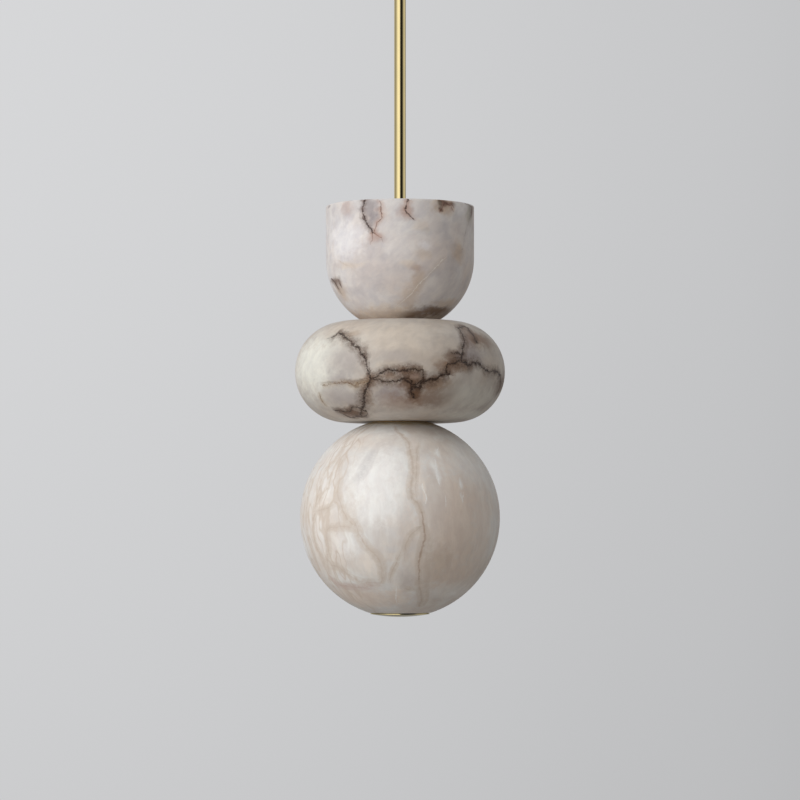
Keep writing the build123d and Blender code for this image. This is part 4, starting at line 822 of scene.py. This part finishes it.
def knurledRing(shape, spot, turn, ring):
    # a thin toothed sleeve, sunk into what it lies round
    tube = bmesh.ops.create_cone(shape, segments=2 * ring["teeth"], radius1=ring["radius"] * mm,
                                 radius2=ring["radius"] * mm, depth=ring["long"] * mm)["verts"]
    grow = 1 + ring["proud"] / ring["radius"]
    bearings = [v.co.to_2d().angle_signed(Vector((1.0, 0.0))) for v in tube]
    tips = [v for v, bearing in zip(tube, bearings) if round(bearing * ring["teeth"] / pi) % 2]
    bmesh.ops.scale(shape, vec=(grow, grow, 1.0), verts=tips)
    walls = list({face for v in tube for face in v.link_faces})
    made = bmesh.ops.solidify(shape, geom=walls, thickness=ring["wall"] * mm)["geom"]
    every = {v for v in tube} | {part for part in made if isinstance(part, bmesh.types.BMVert)}
    bmesh.ops.transform(shape, matrix=Matrix.Translation(spot) @ turn, verts=list(every))


def addPiece(name, shape, body, slot):
    bmesh.ops.recalc_face_normals(shape, faces=shape.faces)
    made = addMesh(name, shape, finishes[slot])
    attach(made, body)


screwKnurl = {"radius": 3.98, "proud": 0.24, "teeth": 26, "long": 3.6, "wall": 0.7, "head": 5.0, "count": 3,
              "step": 30}
capKnurl = {"radius": 13.48, "proud": 0.3, "teeth": 64, "long": 4.4, "wall": 0.8, "below": 4.2}

low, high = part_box("canopy_screws")
shape = bmesh.new()
level = (low.z + high.z) / 2
spots = [vertex.co.to_2d() for vertex in nodes["canopy_screws"].data.vertices]
farthest = max(spots, key=lambda spot: spot.length)
out = farthest.length - screwKnurl["head"] / 2 * mm
firstBearing = Vector((1.0, 0.0)).angle_signed(farthest) * -180 / pi
firstBearing = radians(round(firstBearing / screwKnurl["step"]) * screwKnurl["step"])
for screw in range(screwKnurl["count"]):
    bearing = firstBearing + screw * 2 * pi / screwKnurl["count"]
    knurledRing(shape, Vector((out * cos(bearing), out * sin(bearing), level)),
                Matrix.Rotation(bearing, 4, "Z") @ Matrix.Rotation(pi / 2, 4, "Y"), screwKnurl)
addPiece("canopyScrewKnurls", shape, "ceiling_mount", "polished_brass")

low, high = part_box("swivel_cap")
shape = bmesh.new()
knurledRing(shape, Vector((0.0, 0.0, high.z - (capKnurl["below"] + capKnurl["long"] / 2) * mm)),
            Matrix.Identity(4), capKnurl)
addPiece("swivelCapKnurl", shape, "swivel", "polished_brass")
print("knurling cut")

# studio

# camera: level, with the picture shifted upwards
view = {"distance": 2.440, "height": -0.5912, "lens": 127.96, "sensor": 36.0, "rise": 0.1677}
lens = bpy.data.cameras.new("photoCamera")
lens.lens, lens.sensor_width, lens.shift_y = view["lens"], view["sensor"], view["rise"]
camera = addObject("photoCamera", lens)
camera.location = (0.0, -view["distance"], view["height"])
camera.rotation_euler = (pi / 2, 0.0, 0.0)
scene.camera = camera
scene.view_settings.view_transform = "Standard"

# key light: a large soft box at the left, which metal doesn't mirror: it mirrors the room below
key = {"place": (-1.3, -1.3, 0.08), "target": (0.0, 0.0, -0.48), "size": (1.2, 1.6), "power": 25.5,
       "colour": (1.0, 0.995, 0.99)}
lamp = bpy.data.lights.new("keyLight", "AREA")
lamp.shape, lamp.size, lamp.size_y = "RECTANGLE", *key["size"]
lamp.energy, lamp.color = key["power"], key["colour"]
made = addObject("keyLight", lamp)
made.location = key["place"]
made.rotation_mode = "QUATERNION"
made.rotation_quaternion = (Vector(key["target"]) - Vector(key["place"])).to_track_quat("-Z", "Y")
made.visible_camera = made.visible_glossy = False

# floor: pale, well below the lamp, fading out towards its rim
floor = {"level": -2.0, "radius": 3.6, "sides": 96, "paints": (tone(240, 240, 242), tone(244, 244, 245)),
         "fade": (3500.0, 1500.0), "grain": (600.0, 2.0, 0.5), "rough": 0.9}
material, tree, shader, place = newMaterial("paleFloor")
spread = ramp(tree, noise(tree, place, *floor["grain"]), *noiseSpan)
tree.links.new(blend(tree, spread, *floor["paints"]), shader.inputs["Base Color"])
shader.inputs["Roughness"].default_value = floor["rough"]
away = vec(tree, "LENGTH", vec(tree, "MULTIPLY", place, (1.0, 1.0, 0.0)))
tree.links.new(ramp(tree, away, *floor["fade"]), shader.inputs["Alpha"])
shape = bmesh.new()
bmesh.ops.create_circle(shape, cap_ends=True, segments=floor["sides"], radius=floor["radius"],
                        matrix=Matrix.Translation((0.0, 0.0, floor["level"])))
made = addMesh("floor", shape, material)
made.visible_diffuse = made.visible_glossy = False  # the lamp is lit and mirrored as the studio sets it

# world: each curve is brightness by place in the picture, or by bearing from behind round to behind
backdrop = {
    "across": [(0.0, 0.705), (0.13, 0.69), (0.35, 0.66), (0.5, 0.63), (0.65, 0.59), (0.75, 0.565),
               (0.875, 0.5), (1.0, 0.445)],
    "down": [(0.0, 0.8), (0.25, 0.87), (0.5, 0.935), (0.75, 0.985), (1.0, 1.0)],
    "spread": 2.0, "green": 1.006, "blue": 1.022,
}
room = {
    "round": [(0.0, 0.5), (0.111, 0.29), (0.22, 0.66), (0.294, 0.55), (0.358, 0.08), (0.417, 0.01),
              (0.466, 0.05), (0.496, 0.4), (0.516, 1.1), (0.583, 1.2), (0.642, 1.0), (0.706, 0.6),
              (0.778, 0.36), (0.889, 0.5), (1.0, 0.5)],
    "down": (0.05, -0.35, 1.0, 0.4), "ceiling": (0.3, 0.7, 0.0, 0.7),
}
fill = {"from": (-0.62, -0.3, 0.72), "limits": (-0.9, 0.9), "dim": (0.27, 0.248, 0.226, 1),
        "bright": (0.46, 0.455, 0.45, 1), "behind": (0.0, 0.9), "wall": (0.52, 0.51, 0.5, 1)}
world = bpy.data.worlds.new("studio")
scene.world = world
world.use_nodes = True
tree = world.node_tree
tree.nodes.clear()
way = addNode(tree, "TexCoord").outputs["Generated"]
parts = addNode(tree, "SeparateXYZ", {0: way}).outputs
rays = addNode(tree, "LightPath").outputs
# behind the lamp: pale grey, falling off to the right and downwards
across = curve(tree, calc(tree, "MULTIPLY_ADD", parts[0], backdrop["spread"], 0.5), backdrop["across"])
down = curve(tree, calc(tree, "MULTIPLY_ADD", parts[2], backdrop["spread"], 0.5), backdrop["down"])
level = product(tree, across, down)
picture = addNode(tree, "CombineColor", {0: level, 1: product(tree, level, backdrop["green"]),
                                         2: product(tree, level, backdrop["blue"])}).outputs[0]
# what the brass mirrors all round, darker below and lighter overhead
turn = calc(tree, "ARCTAN2", product(tree, parts[0], -1.0), product(tree, parts[1], -1.0))
level = curve(tree, calc(tree, "DIVIDE", calc(tree, "ADD", turn, pi), 2 * pi), room["round"])
level = product(tree, level, ramp(tree, parts[2], *room["down"]))
level = calc(tree, "MAXIMUM", level, ramp(tree, parts[2], *room["ceiling"]))
# the soft light on the stones, and the wall behind
side = vec(tree, "DOT_PRODUCT", way, Vector(fill["from"]).normalized())
seen = blend(tree, ramp(tree, side, *fill["limits"]), fill["dim"], fill["bright"])
seen = blend(tree, ramp(tree, parts[1], *fill["behind"]), seen, fill["wall"])
seen = blend(tree, rays["Is Glossy Ray"], seen, grey(tree, level))
seen = blend(tree, calc(tree, "MAXIMUM", rays["Is Camera Ray"], rays["Is Transmission Ray"]), seen, picture)
sky = addNode(tree, "Background", {"Color": seen})
tree.links.new(sky.outputs[0], addNode(tree, "OutputWorld").inputs[0])
print("studio set")
